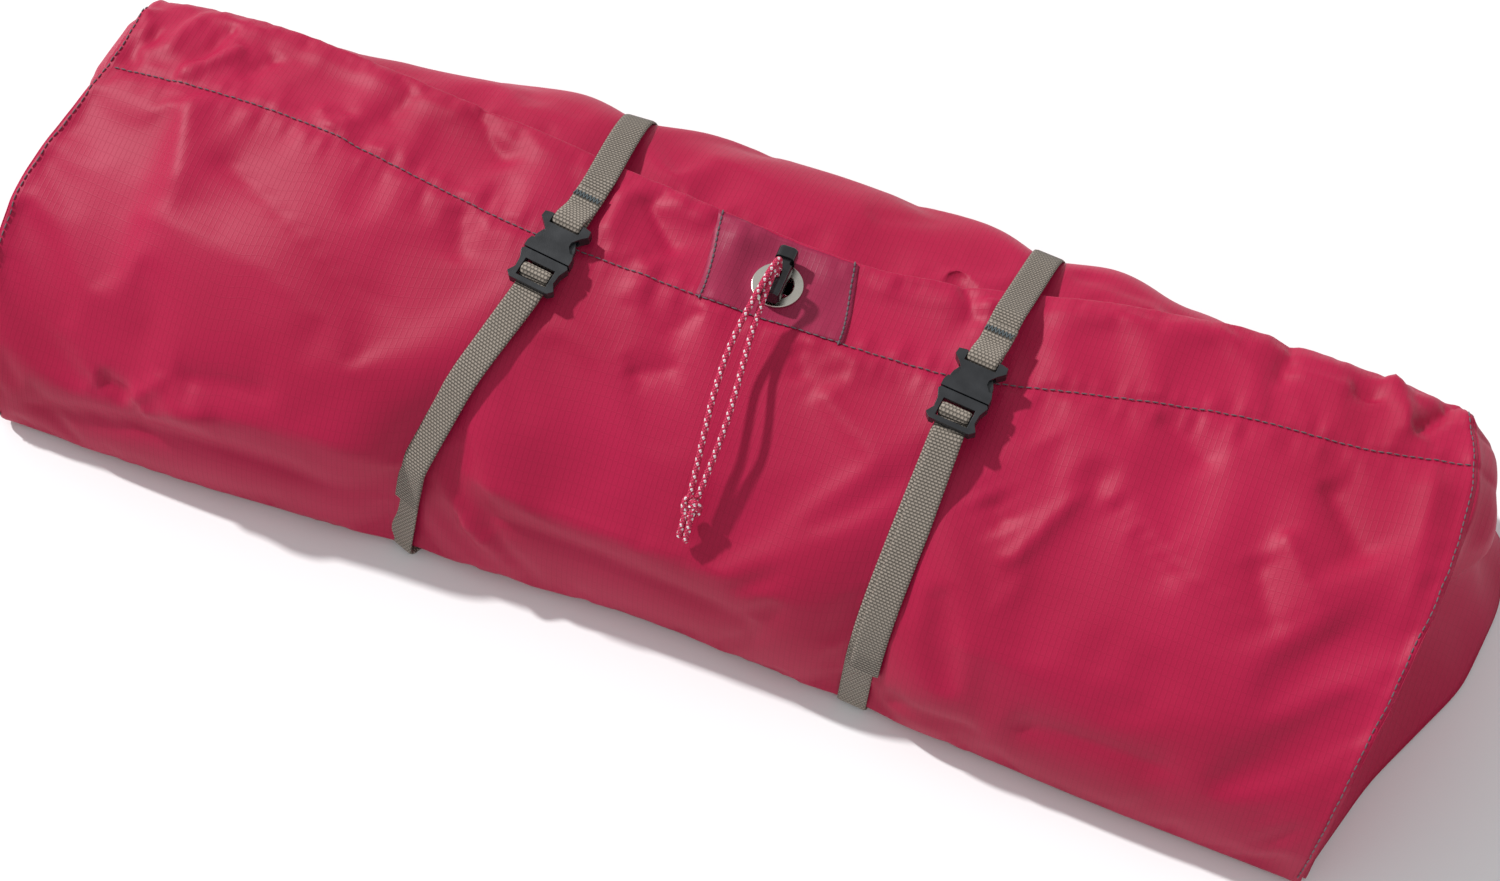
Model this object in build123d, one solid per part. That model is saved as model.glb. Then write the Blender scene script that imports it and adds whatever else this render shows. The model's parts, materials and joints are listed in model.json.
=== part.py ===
"""Stuff sack for a tent or other camping gear, full and lying on its base.

A long sack of coated ripstop nylon, open along its upper edge. A hem round the mouth holds a drawcord,
whose two ends leave through a grommet in a stiffened patch, pass a sprung cord lock and end in a knot.
Two webbing straps with side-release buckles go over the mouth and squeeze the load.

Axes: +X along the sack, +Y towards its back, +Z up. The origin is on the floor, under the middle of the
sack. Millimetres. The fabric is drawn thicker than it is, so that its pieces are sound solids.
"""

from build123d import *
from math import atan2, cos, degrees, hypot, pi, radians, sin, tan
import os

os.makedirs("parts", exist_ok=True)

# ---------------------------------------------------------------- driving dimensions
# sack
sack_length = 625.0
sack_height = 92.0
front_at_middle = -88.0  # front edge of the plan, drawn in by the straps
front_at_ends = -105.0
back_at_middle = 98.0
back_at_ends = 84.0
apex_y = 18.0  # the highest line of the section
front_bulge_z = 26.0  # height where the front is furthest out
back_bulge_z = 38.0
front_fullness = 0.62
back_fullness = 0.76
front_base_inset = 20.0  # how far the flat base stops short of the front and back edges
back_base_inset = 24.0
end_rounding = 62.0  # length over which each end draws in
end_share = 0.56  # how much of the section is left at the very end
fabric = 1.0
base_seam_z = 11.0
end_panel_depth = 34.0

# mouth, hem and drawcord
middle_x = 10.0  # middle of the mouth, the patch and the pair of straps
mouth_from_left = 50.5
mouth_from_right = 104.5
mouth_left = mouth_from_left - sack_length / 2
mouth_right = sack_length / 2 - mouth_from_right
mouth_points = [(-320, 54), (-137, 54), (10, 48), (98, 52), (200, 56), (320, 56)]
mouth_gap = 8.0
front_hem_width = 38.0
back_hem_width = 16.0
hem_layer = 0.8
hem_tunnel = 4.8
cord_diameter = 2.5
cord_inset = 8.0  # from the mouth's edge to the drawcord inside the hem

# patch and grommet
patch_width = 63.0
patch_thickness = 0.6
grommet_inset = 18.0  # from the mouth's edge to the middle of the grommet
grommet_bore = 13.0
grommet_wall = 0.6
grommet_flange = 21.0
grommet_metal = 0.9
grommet_rise = 0.35  # how far the washer hangs clear of the curved panel
fixed_gap = 0.15  # clearance where one fixed piece passes through another

# cord lock
lock_size = (8.6, 15.0, 8.4)
lock_standoff = 1.0  # between the grommet's flange and the lock
lock_hole_y = 2.4  # where the cords pass, from the barrel's middle
stem_size = (5.2, 5.2)
stem_gap = 0.3
head_size = (8.0, 5.4, 8.0)
lock_travel = 2.6
lock_lift = 12.0  # how far the slack lets the lock ride up the cords
cord_pitch = 2.8  # between the middles of the two strands
cord_gap = 0.25

# straps
strap_spacing = 175.0
webbing_width = 12.5
webbing_thickness = 1.2
webbing_clearance = 0.55
strap_lift = 7.5  # how far a taut strap stands off the sack at its buckle
strap_step = 9.0
buckle_y = 6.5
straps = {  # degrees off square for the upper webbing, the buckle and the lower webbing
    "left": (-1, -2.0, 8.0, 19.0),
    "right": (1, 4.0, 6.0, 5.0),
}
base_run = 60.0  # length of each webbing under the base
tack_size = (11.5, 2.4, 0.3)
tack_y = 29.5
fold_end = 40.0  # how far the upper webbing folds back from the buckle's middle

# buckle, measured up the strap from its middle
socket_height = 5.6
socket_plate = 1.1
socket_end = 15.5
socket_bar = (1.9, 2.2)
socket_slot = 2.4
ear_half = 10.5
waist_half = 6.0
waist_y = 5.5
foot_half = 10.2
foot_y = -2.4
cavity_half = 8.0
catch_y = 2.5
parting_gap = 0.35
plug_end = -17.0
plug_half = 10.6
plug_height = 4.6
bar_y = -10.4
middle_bar = 2.2
end_bar = 2.2
arm_root_y = -2.6
arm_root_x = 5.8
arm_tip_y = 9.0
arm_height = 2.6
arm_press = 12.0
guide_half = 1.1
release_travel = 18.0

# ---------------------------------------------------------------- the sack's form
half_length = sack_length / 2
base_z = webbing_thickness + webbing_clearance


def end_scale(x):
    """Share of the section that is left at x: 1 along the middle, less towards each end."""
    reach = max(0.0, abs(x) - (half_length - end_rounding)) / end_rounding
    return (1 - (1 - end_share**2) * min(reach, 1.0) ** 2) ** 0.5


def plan_edges(x):
    """Front and back edges of the sack at x, seen from above."""
    share = min(abs(x) / half_length, 1.0) ** 2
    front = front_at_middle + (front_at_ends - front_at_middle) * share
    back = back_at_middle + (back_at_ends - back_at_middle) * share
    middle, scale = (front + back) / 2, end_scale(x)
    return middle + (front - middle) * scale, middle + (back - middle) * scale


def section_curves(x, grow):
    """Control points (y, z) of the section's four curves, from the base's front edge round to its back."""
    front, back = plan_edges(x)
    scale = end_scale(x)
    front_foot, back_foot = front + front_base_inset * scale, back - back_base_inset * scale
    front, back = front - grow, back + grow
    low, high = base_z - grow, base_z + sack_height * scale + grow
    front_z = base_z + (front_bulge_z - base_z) * scale
    back_z = base_z + (back_bulge_z - base_z) * scale
    apex = (apex_y * scale, high)
    corners = [(front_foot, low), (front, front_z), apex, (back, back_z), (back_foot, low)]
    curves = []
    for i, full in enumerate((front_fullness, front_fullness, back_fullness, back_fullness)):
        (y0, z0), (y1, z1) = corners[i], corners[i + 1]
        if i % 2 == 0:
            curves.append([(y0, z0), (y0 + full * (y1 - y0), z0), (y1, z1 - full * (z1 - z0)), (y1, z1)])
        else:
            curves.append([(y0, z0), (y0, z0 + full * (z1 - z0)), (y1 - full * (y1 - y0), z1), (y1, z1)])
    return curves


def bezier(points, t):
    weights = ((1 - t) ** 3, 3 * t * (1 - t) ** 2, 3 * t * t * (1 - t), t**3)
    return tuple(sum(w * p[k] for w, p in zip(weights, points)) for k in (0, 1))


def top_z(x, y, grow=0.0):
    """Height of the sack's upper surface, or of that surface grown outwards, above the point (x, y)."""
    curves = section_curves(x, grow)
    curve = curves[1] if y < curves[1][3][0] else curves[2]
    low, high = 0.0, 1.0
    for _ in range(40):
        t = (low + high) / 2
        if bezier(curve, t)[0] < y:
            low = t
        else:
            high = t
    return bezier(curve, low)[1]


def section_wire(x, grow):
    edges = []
    for points in section_curves(x, grow):
        edges.append(Edge.make_bezier(*[Vector(x, y, z) for y, z in points]))
    edges.append(Edge.make_line(edges[-1] @ 1, edges[0] @ 0))
    return Wire(edges)


def grown(grow):
    """The sack's whole form as a solid, grown outwards by grow or drawn inwards when it is negative."""
    bend = half_length - end_rounding
    tip = half_length + min(grow, 0.0)
    whole = Solid.make_loft([section_wire(x, grow) for x in (-bend, 0.0, bend)])
    for side in (-1, 1):
        steps = [side * (bend + (tip - bend) * i / 4) for i in range(5)]
        whole = whole + Solid.make_loft([section_wire(x, grow) for x in steps])
    return whole


# ---------------------------------------------------------------- helpers
def block(x0, x1, y0, y1, z0, z1):
    return Pos((x0 + x1) / 2, (y0 + y1) / 2, (z0 + z1) / 2) * Box(x1 - x0, y1 - y0, z1 - z0)


def prism(points, z0, z1):
    """A straight prism over the plan outline given."""
    return extrude(Plane.XY.offset(z0) * make_face(Polyline(*points, close=True)), z1 - z0)


def mirrored(points):
    return points + [(-x, y) for x, y in reversed(points)]


mouth_curve = Spline(*[Vector(x, y) for x, y in mouth_points])


def mouth_y(x):
    """The mouth's front edge at x."""
    low, high = 0.0, 1.0
    for _ in range(40):
        t = (low + high) / 2
        if (mouth_curve @ t).X < x:
            low = t
        else:
            high = t
    return (mouth_curve @ low).Y


def strip(x0, x1, from_edge, to_edge, z0=base_seam_z):
    """An upright region between two lines parallel to the mouth's front edge."""
    steps = 14
    xs = [x0 + (x1 - x0) * i / steps for i in range(steps + 1)]
    near = Spline(*[Vector(x, mouth_y(x) + from_edge) for x in xs])
    far = Spline(*[Vector(x, mouth_y(x) + to_edge) for x in xs])
    sides = [Line(near @ 1, far @ 1), Line(far @ 0, near @ 0)]
    return extrude(Plane.XY.offset(z0) * make_face([near, far, *sides]), 200)


def tube(path, diameter):
    return sweep(Plane(origin=path @ 0, z_dir=path % 0) * Circle(diameter / 2), path=path)


def export(name, shape):
    solids = shape.solids()
    whole = solids[0] if len(solids) == 1 else Compound(solids)
    whole.label = name
    export_step(whole, f"parts/{name}.step")


# ---------------------------------------------------------------- fabric
form = grown(0)
lining = grown(-fabric)
shell = form - lining
far = 400.0
end_x = half_length - end_panel_depth
grommet_y = mouth_y(middle_x) - grommet_inset
grommet_top = top_z(middle_x, grommet_y)
rise = (top_z(middle_x, grommet_y + 5) - top_z(middle_x, grommet_y - 5)) / 10
grommet_frame = Plane(
    origin=(middle_x, grommet_y, grommet_top), x_dir=(1, 0, 0), z_dir=(0, -rise, 1)
)


def placed(frame, shape):
    return frame.location * shape


eyelet_hole = placed(grommet_frame, Cylinder(grommet_bore / 2 + grommet_wall + fixed_gap, 60))
before_mouth = strip(-far / 1.26, far / 1.26, -far, 0)
mouth_slot = strip(mouth_left, mouth_right, -2, mouth_gap)
middle_slab = block(-end_x, end_x, -far, far, base_seam_z, far)
upper_shell = shell & middle_slab

front_panel = (upper_shell & before_mouth) - eyelet_hole
export("front_panel", front_panel)
export("back_panel", (upper_shell - before_mouth) - mouth_slot)
export("base_panel", shell & block(-end_x, end_x, -far, far, -far, base_seam_z))
export("left_end_panel", shell & block(-far, -end_x, -far, far, -far, far))
export("right_end_panel", shell & block(end_x, far, -far, far, -far, far))

tunnel_roof = grown(-fabric - hem_tunnel)
hem_floor = grown(-fabric - hem_tunnel - hem_layer)
wall = hem_layer
hem_z = 45.0  # the hems lie above this height
hem_space = lining - hem_floor
tunnel_space = lining - tunnel_roof


def hem(x0, x1, from_edge, to_edge):
    """A strip of fabric turned under the panel's edge, with the drawcord's tunnel through it."""
    outer = hem_space & strip(x0, x1, from_edge, to_edge, hem_z)
    return outer - (tunnel_space & strip(x0 - 1, x1 + 1, from_edge + wall, to_edge - wall, hem_z))


front_hem = hem(mouth_left, mouth_right, -front_hem_width, 0)
export("front_hem", front_hem)
export("back_hem", hem(mouth_left, mouth_right, mouth_gap, mouth_gap + back_hem_width))

patch_form = grown(patch_thickness) - form
patch = patch_form & strip(
    middle_x - patch_width / 2, middle_x + patch_width / 2, -front_hem_width + 1, -0.5
)
export("grommet_patch", patch - eyelet_hole)


# ---------------------------------------------------------------- grommet
def ring(outer, inner, z0, z1):
    return Pos(0, 0, (z0 + z1) / 2) * (Cylinder(outer, z1 - z0) - Cylinder(inner, z1 - z0 + 1))


flange_low = patch_thickness + 0.05
flange_top = flange_low + grommet_metal
washer_top = -fabric - grommet_rise
tube_radius = grommet_bore / 2 + grommet_wall
eyelet = ring(grommet_flange / 2, grommet_bore / 2, flange_low, flange_top)
eyelet += ring(tube_radius, grommet_bore / 2, washer_top - grommet_metal - 0.1, flange_low)
eyelet = fillet(eyelet.edges().filter_by(GeomType.CIRCLE).group_by(Axis.Z)[-1], 0.4)
washer = ring(grommet_flange / 2 - 0.5, tube_radius + 0.05, washer_top - grommet_metal, washer_top)
export("grommet_eyelet", placed(grommet_frame, eyelet))
export("grommet_washer", placed(grommet_frame, washer))

# ---------------------------------------------------------------- cord lock
lock_low = flange_top + lock_standoff
lock_middle = lock_low + lock_size[2] / 2
hole_length = cord_pitch + cord_diameter + 2 * cord_gap
cavity = (stem_size[0] + 2 * stem_gap, stem_size[1] + 2 * stem_gap)
cavity_end = -lock_size[1] / 2 + 1.2
spring_room = 2.2


def slot(length, width, height):
    """A straight hole with rounded ends, long way along Y."""
    return extrude(SlotOverall(length, width, rotation=90), height / 2, both=True)


barrel = Box(*lock_size)
barrel = fillet(barrel.edges().filter_by(Axis.Y), 2.6)
barrel = chamfer(barrel.faces().sort_by(Axis.Y)[0].edges(), 0.7)
barrel -= block(-cavity[0] / 2, cavity[0] / 2, cavity_end, far, -cavity[1] / 2, cavity[1] / 2)
barrel -= Pos(0, lock_hole_y, 0) * slot(hole_length, cord_diameter + 2 * cord_gap, 20)
for i in range(4):
    groove_y = -lock_size[1] / 2 + 2.6 + i * 1.1
    barrel -= block(-far, -lock_size[0] / 2 + 0.35, groove_y - 0.2, groove_y + 0.2, -1.6, 1.6)
    barrel -= block(lock_size[0] / 2 - 0.35, far, groove_y - 0.2, groove_y + 0.2, -1.6, 1.6)

stem_low = cavity_end + spring_room + lock_travel
head_low = lock_size[1] / 2 + lock_travel + 0.3
head = fillet(Box(*head_size).edges().filter_by(Axis.Y), 2.4)
head = fillet(head.faces().sort_by(Axis.Y)[-1].edges(), 0.8)
plunger = Pos(0, head_low + head_size[1] / 2, 0) * head
half_wide, half_thick = stem_size[0] / 2, stem_size[1] / 2
plunger += block(-half_wide, half_wide, stem_low, head_low, -half_thick, half_thick)
grip_low = lock_hole_y - hole_length / 2 + cord_gap - 0.15
plunger -= Pos(0, grip_low + (hole_length + lock_travel) / 2, 0) * slot(
    hole_length + lock_travel, cord_diameter + 2 * cord_gap, 20
)

spring_wire = 0.4
spring_length = spring_room + lock_travel - 2 * spring_wire
coil = Helix(pitch=spring_length / 6, height=spring_length, radius=1.9)
spring = sweep(Plane(origin=coil @ 0, z_dir=coil % 0) * Circle(spring_wire / 2), path=coil, is_frenet=True)
spring = Pos(0, cavity_end + spring_wire, 0) * Rot(-90, 0, 0) * spring

lock_frame = Plane(
    origin=grommet_frame.from_local_coords((0, -lock_hole_y, lock_middle)),
    x_dir=(1, 0, 0),
    z_dir=grommet_frame.z_dir,
)
export("lock_barrel", placed(lock_frame, barrel))
export("lock_plunger", placed(lock_frame, plunger))
export("lock_spring", placed(lock_frame, spring))

# ---------------------------------------------------------------- drawcord
tunnel_middle = -fabric - hem_tunnel / 2
neck_reach = 16.0
neck_level = -4.0  # the cord dips to pass under the grommet's washer


def in_hem(x, edge_offset):
    y = mouth_y(x) + edge_offset
    return Vector(x, y, top_z(x, y, tunnel_middle))


def hem_run(x0, x1, offset, count):
    return [in_hem(x0 + (x1 - x0) * i / (count - 1), offset) for i in range(count)]


back_inset = mouth_gap + cord_inset
turn = (cord_inset + back_inset) / 2
lead = neck_reach + 24
left_start = grommet_frame.from_local_coords(Vector(-neck_reach, cord_pitch / 2, neck_level))
right_start = grommet_frame.from_local_coords(Vector(neck_reach, -cord_pitch / 2, neck_level))
turn_left, turn_right = mouth_left - 4, mouth_right + 4
bend_x = -(half_length - end_rounding)  # where the sack starts to draw in
loop = [left_start - Vector(0.7, 0, 0)]
loop += hem_run(middle_x - lead, bend_x, -cord_inset, 6) + [in_hem(turn_left, -cord_inset)]
loop += [in_hem(turn_left - turn, mouth_gap / 2)]
loop += [in_hem(turn_left, back_inset)] + hem_run(bend_x, turn_right, back_inset, 10)
loop += [in_hem(turn_right + turn, mouth_gap / 2)]
loop += hem_run(turn_right, middle_x + lead, -cord_inset, 5)
loop += [right_start + Vector(0.7, 0, 0)]
loop_path = FilletPolyline(*loop, radius=0.9 * turn)
export("channel_cord", tube(loop_path, cord_diameter))


def above(x, y, height):
    return Vector(x, y, top_z(x, y, height))


def strand(side, start, bend_height, points):
    """One end of the drawcord: up through the grommet and the lock, then down the front to the knot."""
    up = grommet_frame.from_local_coords
    y = -side * cord_pitch / 2
    corner = up(Vector(0, y, neck_level))
    crown = up(Vector(0, y, bend_height))
    pieces = [start, corner, crown] + points
    radii = []
    for a, b, c in zip(pieces, pieces[1:], pieces[2:]):
        turn_angle = (b - a).get_angle(c - b)
        run = min((b - a).length, (c - b).length)
        limit = 0.45 * run / tan(radians(turn_angle) / 2)
        radii.append(min(limit, 3 * cord_diameter if turn_angle > 45 else 60))
    print("strand", side, "radii", [round(r, 1) for r in radii])
    path = FilletPolyline(*pieces, radius=radii)
    solid = tube(path, cord_diameter)
    print("length", round(path.length, 1), "volume", solid.volume, path.length * pi * cord_diameter**2 / 4)
    return path, solid


knot_at = above(10.4, -66, 4.2)
knot_radius = 3.3
left_points = [above(4.0, -4, 12.5), above(5.4, -28, 12.0), above(7.6, -46, 9.0), above(8.9, -62.4, 4.2)]
right_points = [above(9.8, 2, 11.0), above(13.4, -24, 12.0), above(14.4, -42, 9.5), above(11.9, -62.4, 4.2)]
crown_left = lock_low + lock_size[2] + 11.8
left_path, left_strand = strand(-1, left_start, crown_left, left_points)
right_path, right_strand = strand(1, right_start, crown_left - cord_pitch, right_points)
neck_room = placed(grommet_frame, block(-30, 30, -10, 10, -20, flange_top + 0.2))

# the neck of each strand stays with the sack, and the rest goes with the lock
for name, solid in (("left", left_strand), ("right", right_strand)):
    export(f"cord_neck_{name}", solid & neck_room)
    export(f"cord_strand_{name}", solid - neck_room)

knot = Pos(knot_at) * Sphere(knot_radius)
tails = []
for dx in (-1, 1):
    tail_start = knot_at + Vector(dx * 1.4, -2.0, 0)
    tail_end = above(10.4 + dx * 1.5, -77, 2.6)
    tails.append(tube(Line(tail_start, tail_end), cord_diameter))
export("cord_knot", knot + tails[0] + tails[1])


# ---------------------------------------------------------------- buckle, in the strap's own axes
# x across the strap, y up the strap (towards the back), z away from the sack
web = webbing_thickness
layer_z = -(socket_bar[1] / 2 + webbing_clearance + 0.3 + web / 2)
bar_middle = socket_end - socket_bar[0] / 2


def make_socket():
    outline = [
        (webbing_width / 2 + 1.4, socket_end),
        (ear_half, socket_end - 0.6),
        (ear_half + 0.3, socket_end - 3.2),
        (waist_half + 2.2, socket_end - 5.6),
        (waist_half, waist_y + 1.6),
        (waist_half, waist_y - 0.4),
        (cavity_half - 0.1, catch_y + 0.05),
        (foot_half - 0.8, catch_y),
        (foot_half, catch_y - 2.2),
        (foot_half, foot_y),
    ]
    half = socket_height / 2
    body = prism(mirrored(outline), -half, half)
    inner = half - socket_plate
    slot_low = socket_end - socket_bar[0] - socket_slot
    body -= block(-cavity_half, cavity_half, foot_y - 1, slot_low - 1.6, -inner, inner)
    half_slot = webbing_width / 2 + 0.4
    body -= block(-half_slot, half_slot, slot_low, socket_end - socket_bar[0], -far, far)
    for side in (-1, 1):
        z0, z1 = sorted((side * socket_bar[1] / 2, side * far))
        body -= block(-half_slot, half_slot, slot_low, far, z0, z1)
    return body


def make_plug():
    top = foot_y - parting_gap
    half = plug_height / 2
    outline = [
        (foot_half - 0.4, top),
        (plug_half, top - 1.2),
        (plug_half - 1.6, bar_y + 2.6),
        (plug_half - 1.9, bar_y - 1.5),
        (plug_half, plug_end + 2.0),
        (plug_half - 2.0, plug_end),
    ]
    body = prism(mirrored(outline), -half, half)
    half_slot = webbing_width / 2 + 0.5
    window_top = bar_y + middle_bar / 2 + 2.4
    window_low = plug_end + end_bar
    body -= block(-half_slot, half_slot, window_low, window_top, -far, far)
    body += block(-half_slot, half_slot, bar_y - middle_bar / 2, bar_y + middle_bar / 2, -1.2, 0.9)
    body -= block(-half_slot, half_slot, -far, window_low + 0.01, -far, layer_z + 1.5 * web + 0.3)
    body -= block(-half_slot, half_slot, window_top - 0.01, 0, -far, layer_z + web / 2 + 0.15)
    body += block(-guide_half, guide_half, top - 0.5, arm_tip_y - 1.5, -1.1, 1.1)
    for side in (-1, 1):
        body -= Pos(side * arm_root_x, arm_root_y, 0) * Cylinder(1.9, arm_height + 0.4)
        x0, x1 = sorted((side * (arm_root_x - 2.4), side * (arm_root_x + 2.6)))
        body -= block(x0, x1, arm_root_y, 0, -arm_height / 2 - 0.2, arm_height / 2 + 0.2)
    return body


def make_arm(side):
    outline = [
        (arm_root_x - 1.2, arm_root_y),
        (arm_root_x - 0.9, catch_y - 1),
        (arm_root_x - 0.4, arm_tip_y - 3),
        (arm_root_x - 0.6, arm_tip_y),
        (arm_root_x + 1.0, arm_tip_y),
        (cavity_half + 0.6, arm_tip_y - 3.4),
        (cavity_half + 1.0, catch_y + 1.2),
        (cavity_half + 0.9, catch_y + 0.4),
        (arm_root_x + 1.4, catch_y + 0.3),
        (arm_root_x + 1.2, arm_root_y),
    ]
    half = arm_height / 2
    arm = prism([(side * x, y) for x, y in outline], -half, half)
    return arm + Pos(side * arm_root_x, arm_root_y, 0) * Cylinder(1.6, arm_height)


def make_loop():
    """The lower webbing's turn through the plug: under both bars, over the middle one, out as the tail."""
    half = webbing_width / 2
    inner, outer = middle_bar / 2 + 0.75, middle_bar / 2 + 0.75 + web
    centre_z = -0.15
    ring_part = Pos(0, bar_y, centre_z) * Rot(0, 90, 0) * (
        Cylinder(outer, webbing_width) - Cylinder(inner, webbing_width + 1)
    )
    loop_part = ring_part & block(-far, far, -far, far, centre_z, far)
    low = layer_z - web / 2
    loop_part += block(-half, half, bar_y + inner, bar_y + outer, low, centre_z)
    loop_part += block(-half, half, plug_end - 1.0, bar_y + outer, low, low + web)
    tail_low = low + web + 0.1
    loop_part += block(-half, half, bar_y - outer, bar_y - inner, tail_low, centre_z)
    loop_part += block(-half, half, plug_end - 1.0, bar_y - inner, tail_low, tail_low + web)
    return loop_part


def make_fold(lean):
    """The upper webbing's last length: up to the socket, round its bar and back on top of itself."""
    half = webbing_width / 2
    reach = fold_end + 3 + half * abs(sin(radians(lean)))
    inner, outer = -layer_z - web / 2, -layer_z + web / 2
    ring_part = Pos(0, bar_middle, 0) * Rot(0, 90, 0) * (
        Cylinder(outer, webbing_width) - Cylinder(inner, webbing_width + 1)
    )
    fold_part = ring_part & block(-far, far, -far, bar_middle, -far, far)
    fold_part += block(-half, half, bar_middle, reach, -outer, -inner)
    slope_y = tack_y - 5
    top = layer_z + 1.5 * web + 0.1
    side = [
        (bar_middle, inner), (bar_middle, outer), (slope_y, top), (fold_end, top),
        (fold_end, top - web), (slope_y, top - web),
    ]
    upper = extrude(Plane.YZ * make_face(Polyline(*side, close=True)), half, both=True)
    tack = block(-half, half, tack_y - 1, tack_y + 1, layer_z, top - web / 2)
    return fold_part + upper + tack


# ---------------------------------------------------------------- straps
def strap_frame(side, lean):
    """Axes of a strap at its buckle: the origin is in the buckle's middle, y runs up the strap."""
    x = middle_x + side * strap_spacing / 2
    tilt = (top_z(x, buckle_y + 40) - top_z(x, buckle_y - 40)) / 80
    up = Vector(0, 1, tilt).normalized()
    out = Vector(0, -tilt, 1).normalized()
    across = Vector(1, 0, 0)
    along = (up * cos(radians(lean)) + across * sin(radians(lean))).normalized()
    origin = Vector(x, buckle_y, top_z(x, buckle_y, strap_lift)) - out * layer_z
    return Plane(origin=origin, x_dir=along.cross(out), z_dir=out)


def heading(start, end):
    size = hypot(end[0] - start[0], end[1] - start[1])
    return (end[0] - start[0]) / size, (end[1] - start[1]) / size


def ribbon(points, lean, frame, level_end=False):
    """A band of webbing whose middle line is given in a frame's own (x, y). It lies level along X."""
    last = len(points) - 1
    ways = [heading(points[max(i - 1, 0)], points[min(i + 1, last)]) for i in range(last + 1)]
    if level_end:
        ways[last] = (1.0 if ways[last][0] > 0 else -1.0, 0.0)
    sides = []
    for offset in (-web / 2, web / 2):
        line = [(x - offset * v, y + offset * u) for (x, y), (u, v) in zip(points, ways)]
        sides.append(Line(*line) if last == 1 else Spline(*line, tangents=[ways[0], ways[last]]))
    caps = [Line(sides[0] @ 0, sides[1] @ 0), Line(sides[0] @ 1, sides[1] @ 1)]
    face = placed(frame, make_face([*sides, *caps]))
    return extrude(face, webbing_width / 2 / cos(radians(lean)), dir=(1, 0, 0), both=True)


def follow(x_at, grow, start, stop):
    """Points (y, z) round the sack's section, from the share start to the share stop of its four curves."""
    count = int((stop - start) * strap_step)
    points = []
    for i in range(count + 1):
        place = start + (stop - start) * i / count
        part = min(int(place), 3)
        y, z = bezier(section_curves(x_at(0), grow)[part], place - part)
        points.append(bezier(section_curves(x_at(y), grow)[part], place - part))
    return points


def run_frame(start, lean, away):
    """An upright plane through the start of a webbing's run. Its x follows the webbing, seen from above."""
    turned = radians(lean)
    direction = Vector(sin(turned), cos(turned), 0) * away
    return Plane(origin=(start.X, start.Y, 0), x_dir=direction, z_dir=direction.cross(Vector(0, 0, 1)))


def make_strap(name):
    side, upper_lean, buckle_lean, lower_lean = straps[name]
    frame = strap_frame(side, buckle_lean)
    grow = webbing_clearance + web / 2
    strap_x = frame.from_local_coords

    # upper webbing: from the fold over the back and under the base
    start = strap_x(Vector(0, fold_end + 1, layer_z))
    before = strap_x(Vector(0, fold_end - 5, layer_z))
    plane = run_frame(start, upper_lean, 1)
    slant = tan(radians(upper_lean))
    points = [(0.0, start.Z), (6.0, start.Z + (start.Z - before.Z))]
    for y, z in follow(lambda y: start.X + (y - start.Y) * slant, grow, 2.42, 4.0):
        points.append(((y - start.Y) / cos(radians(upper_lean)), z))
    under = [points[-1], (points[-1][0] - base_run, web / 2)]
    upper = ribbon(points, upper_lean, plane, True) + ribbon(under, upper_lean, plane)
    export(f"{name}_upper_webbing", upper + placed(frame, make_fold(buckle_lean)))

    # lower webbing: from the plug over the front edge and under the base
    turned = webbing_width / 2 * sin(radians(buckle_lean))
    start = strap_x(Vector(0, plug_end - 1.1 - turned, layer_z))
    beyond = strap_x(Vector(0, plug_end - 9.0, layer_z))
    plane = run_frame(start, lower_lean, -1)
    slant = tan(radians(lower_lean))
    points = [(0.0, start.Z), (hypot(beyond.X - start.X, beyond.Y - start.Y), beyond.Z)]
    for y, z in reversed(follow(lambda y: start.X + (y - start.Y) * slant, grow, 0.0, 1.62)):
        points.append(((start.Y - y) / cos(radians(lower_lean)), z))
    under = [points[-1], (points[-1][0] - base_run, web / 2)]
    lower = ribbon(points, lower_lean, plane, True) + ribbon(under, lower_lean, plane)
    export(f"{name}_lower_webbing", lower)

    # tail: on top of the lower webbing, as far as the front edge
    ways = [heading(a, b) for a, b in zip(points, points[1:])]
    gap = web + 0.1
    tail = [(s - gap * v, z + gap * u) for (s, z), (u, v) in zip(points, ways)]
    export(f"{name}_webbing_tail", ribbon(tail[:-6], lower_lean, plane))

    export(f"{name}_webbing_loop", placed(frame, make_loop()))
    export(f"{name}_buckle_socket", placed(frame, make_socket()))
    export(f"{name}_buckle_plug", placed(frame, make_plug()))
    export(f"{name}_inner_arm", placed(frame, make_arm(-side)))
    export(f"{name}_outer_arm", placed(frame, make_arm(side)))
    top = layer_z + 1.5 * web + 0.1
    wide, deep, thick = tack_size
    tack = block(-wide / 2, wide / 2, tack_y - deep / 2, tack_y + deep / 2, top, top + thick)
    export(f"{name}_bartack", placed(frame, tack))
    print(name, "buckle origin", frame.origin, "up", frame.y_dir, "out", frame.z_dir)


for strap in straps:
    make_strap(strap)
print("lock origin", lock_frame.origin, "up", lock_frame.y_dir, "out", lock_frame.z_dir)
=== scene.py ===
import json
import math

import bmesh
import bpy
import numpy as np
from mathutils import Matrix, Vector
from mathutils.bvhtree import BVHTree
from mathutils.kdtree import KDTree

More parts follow.
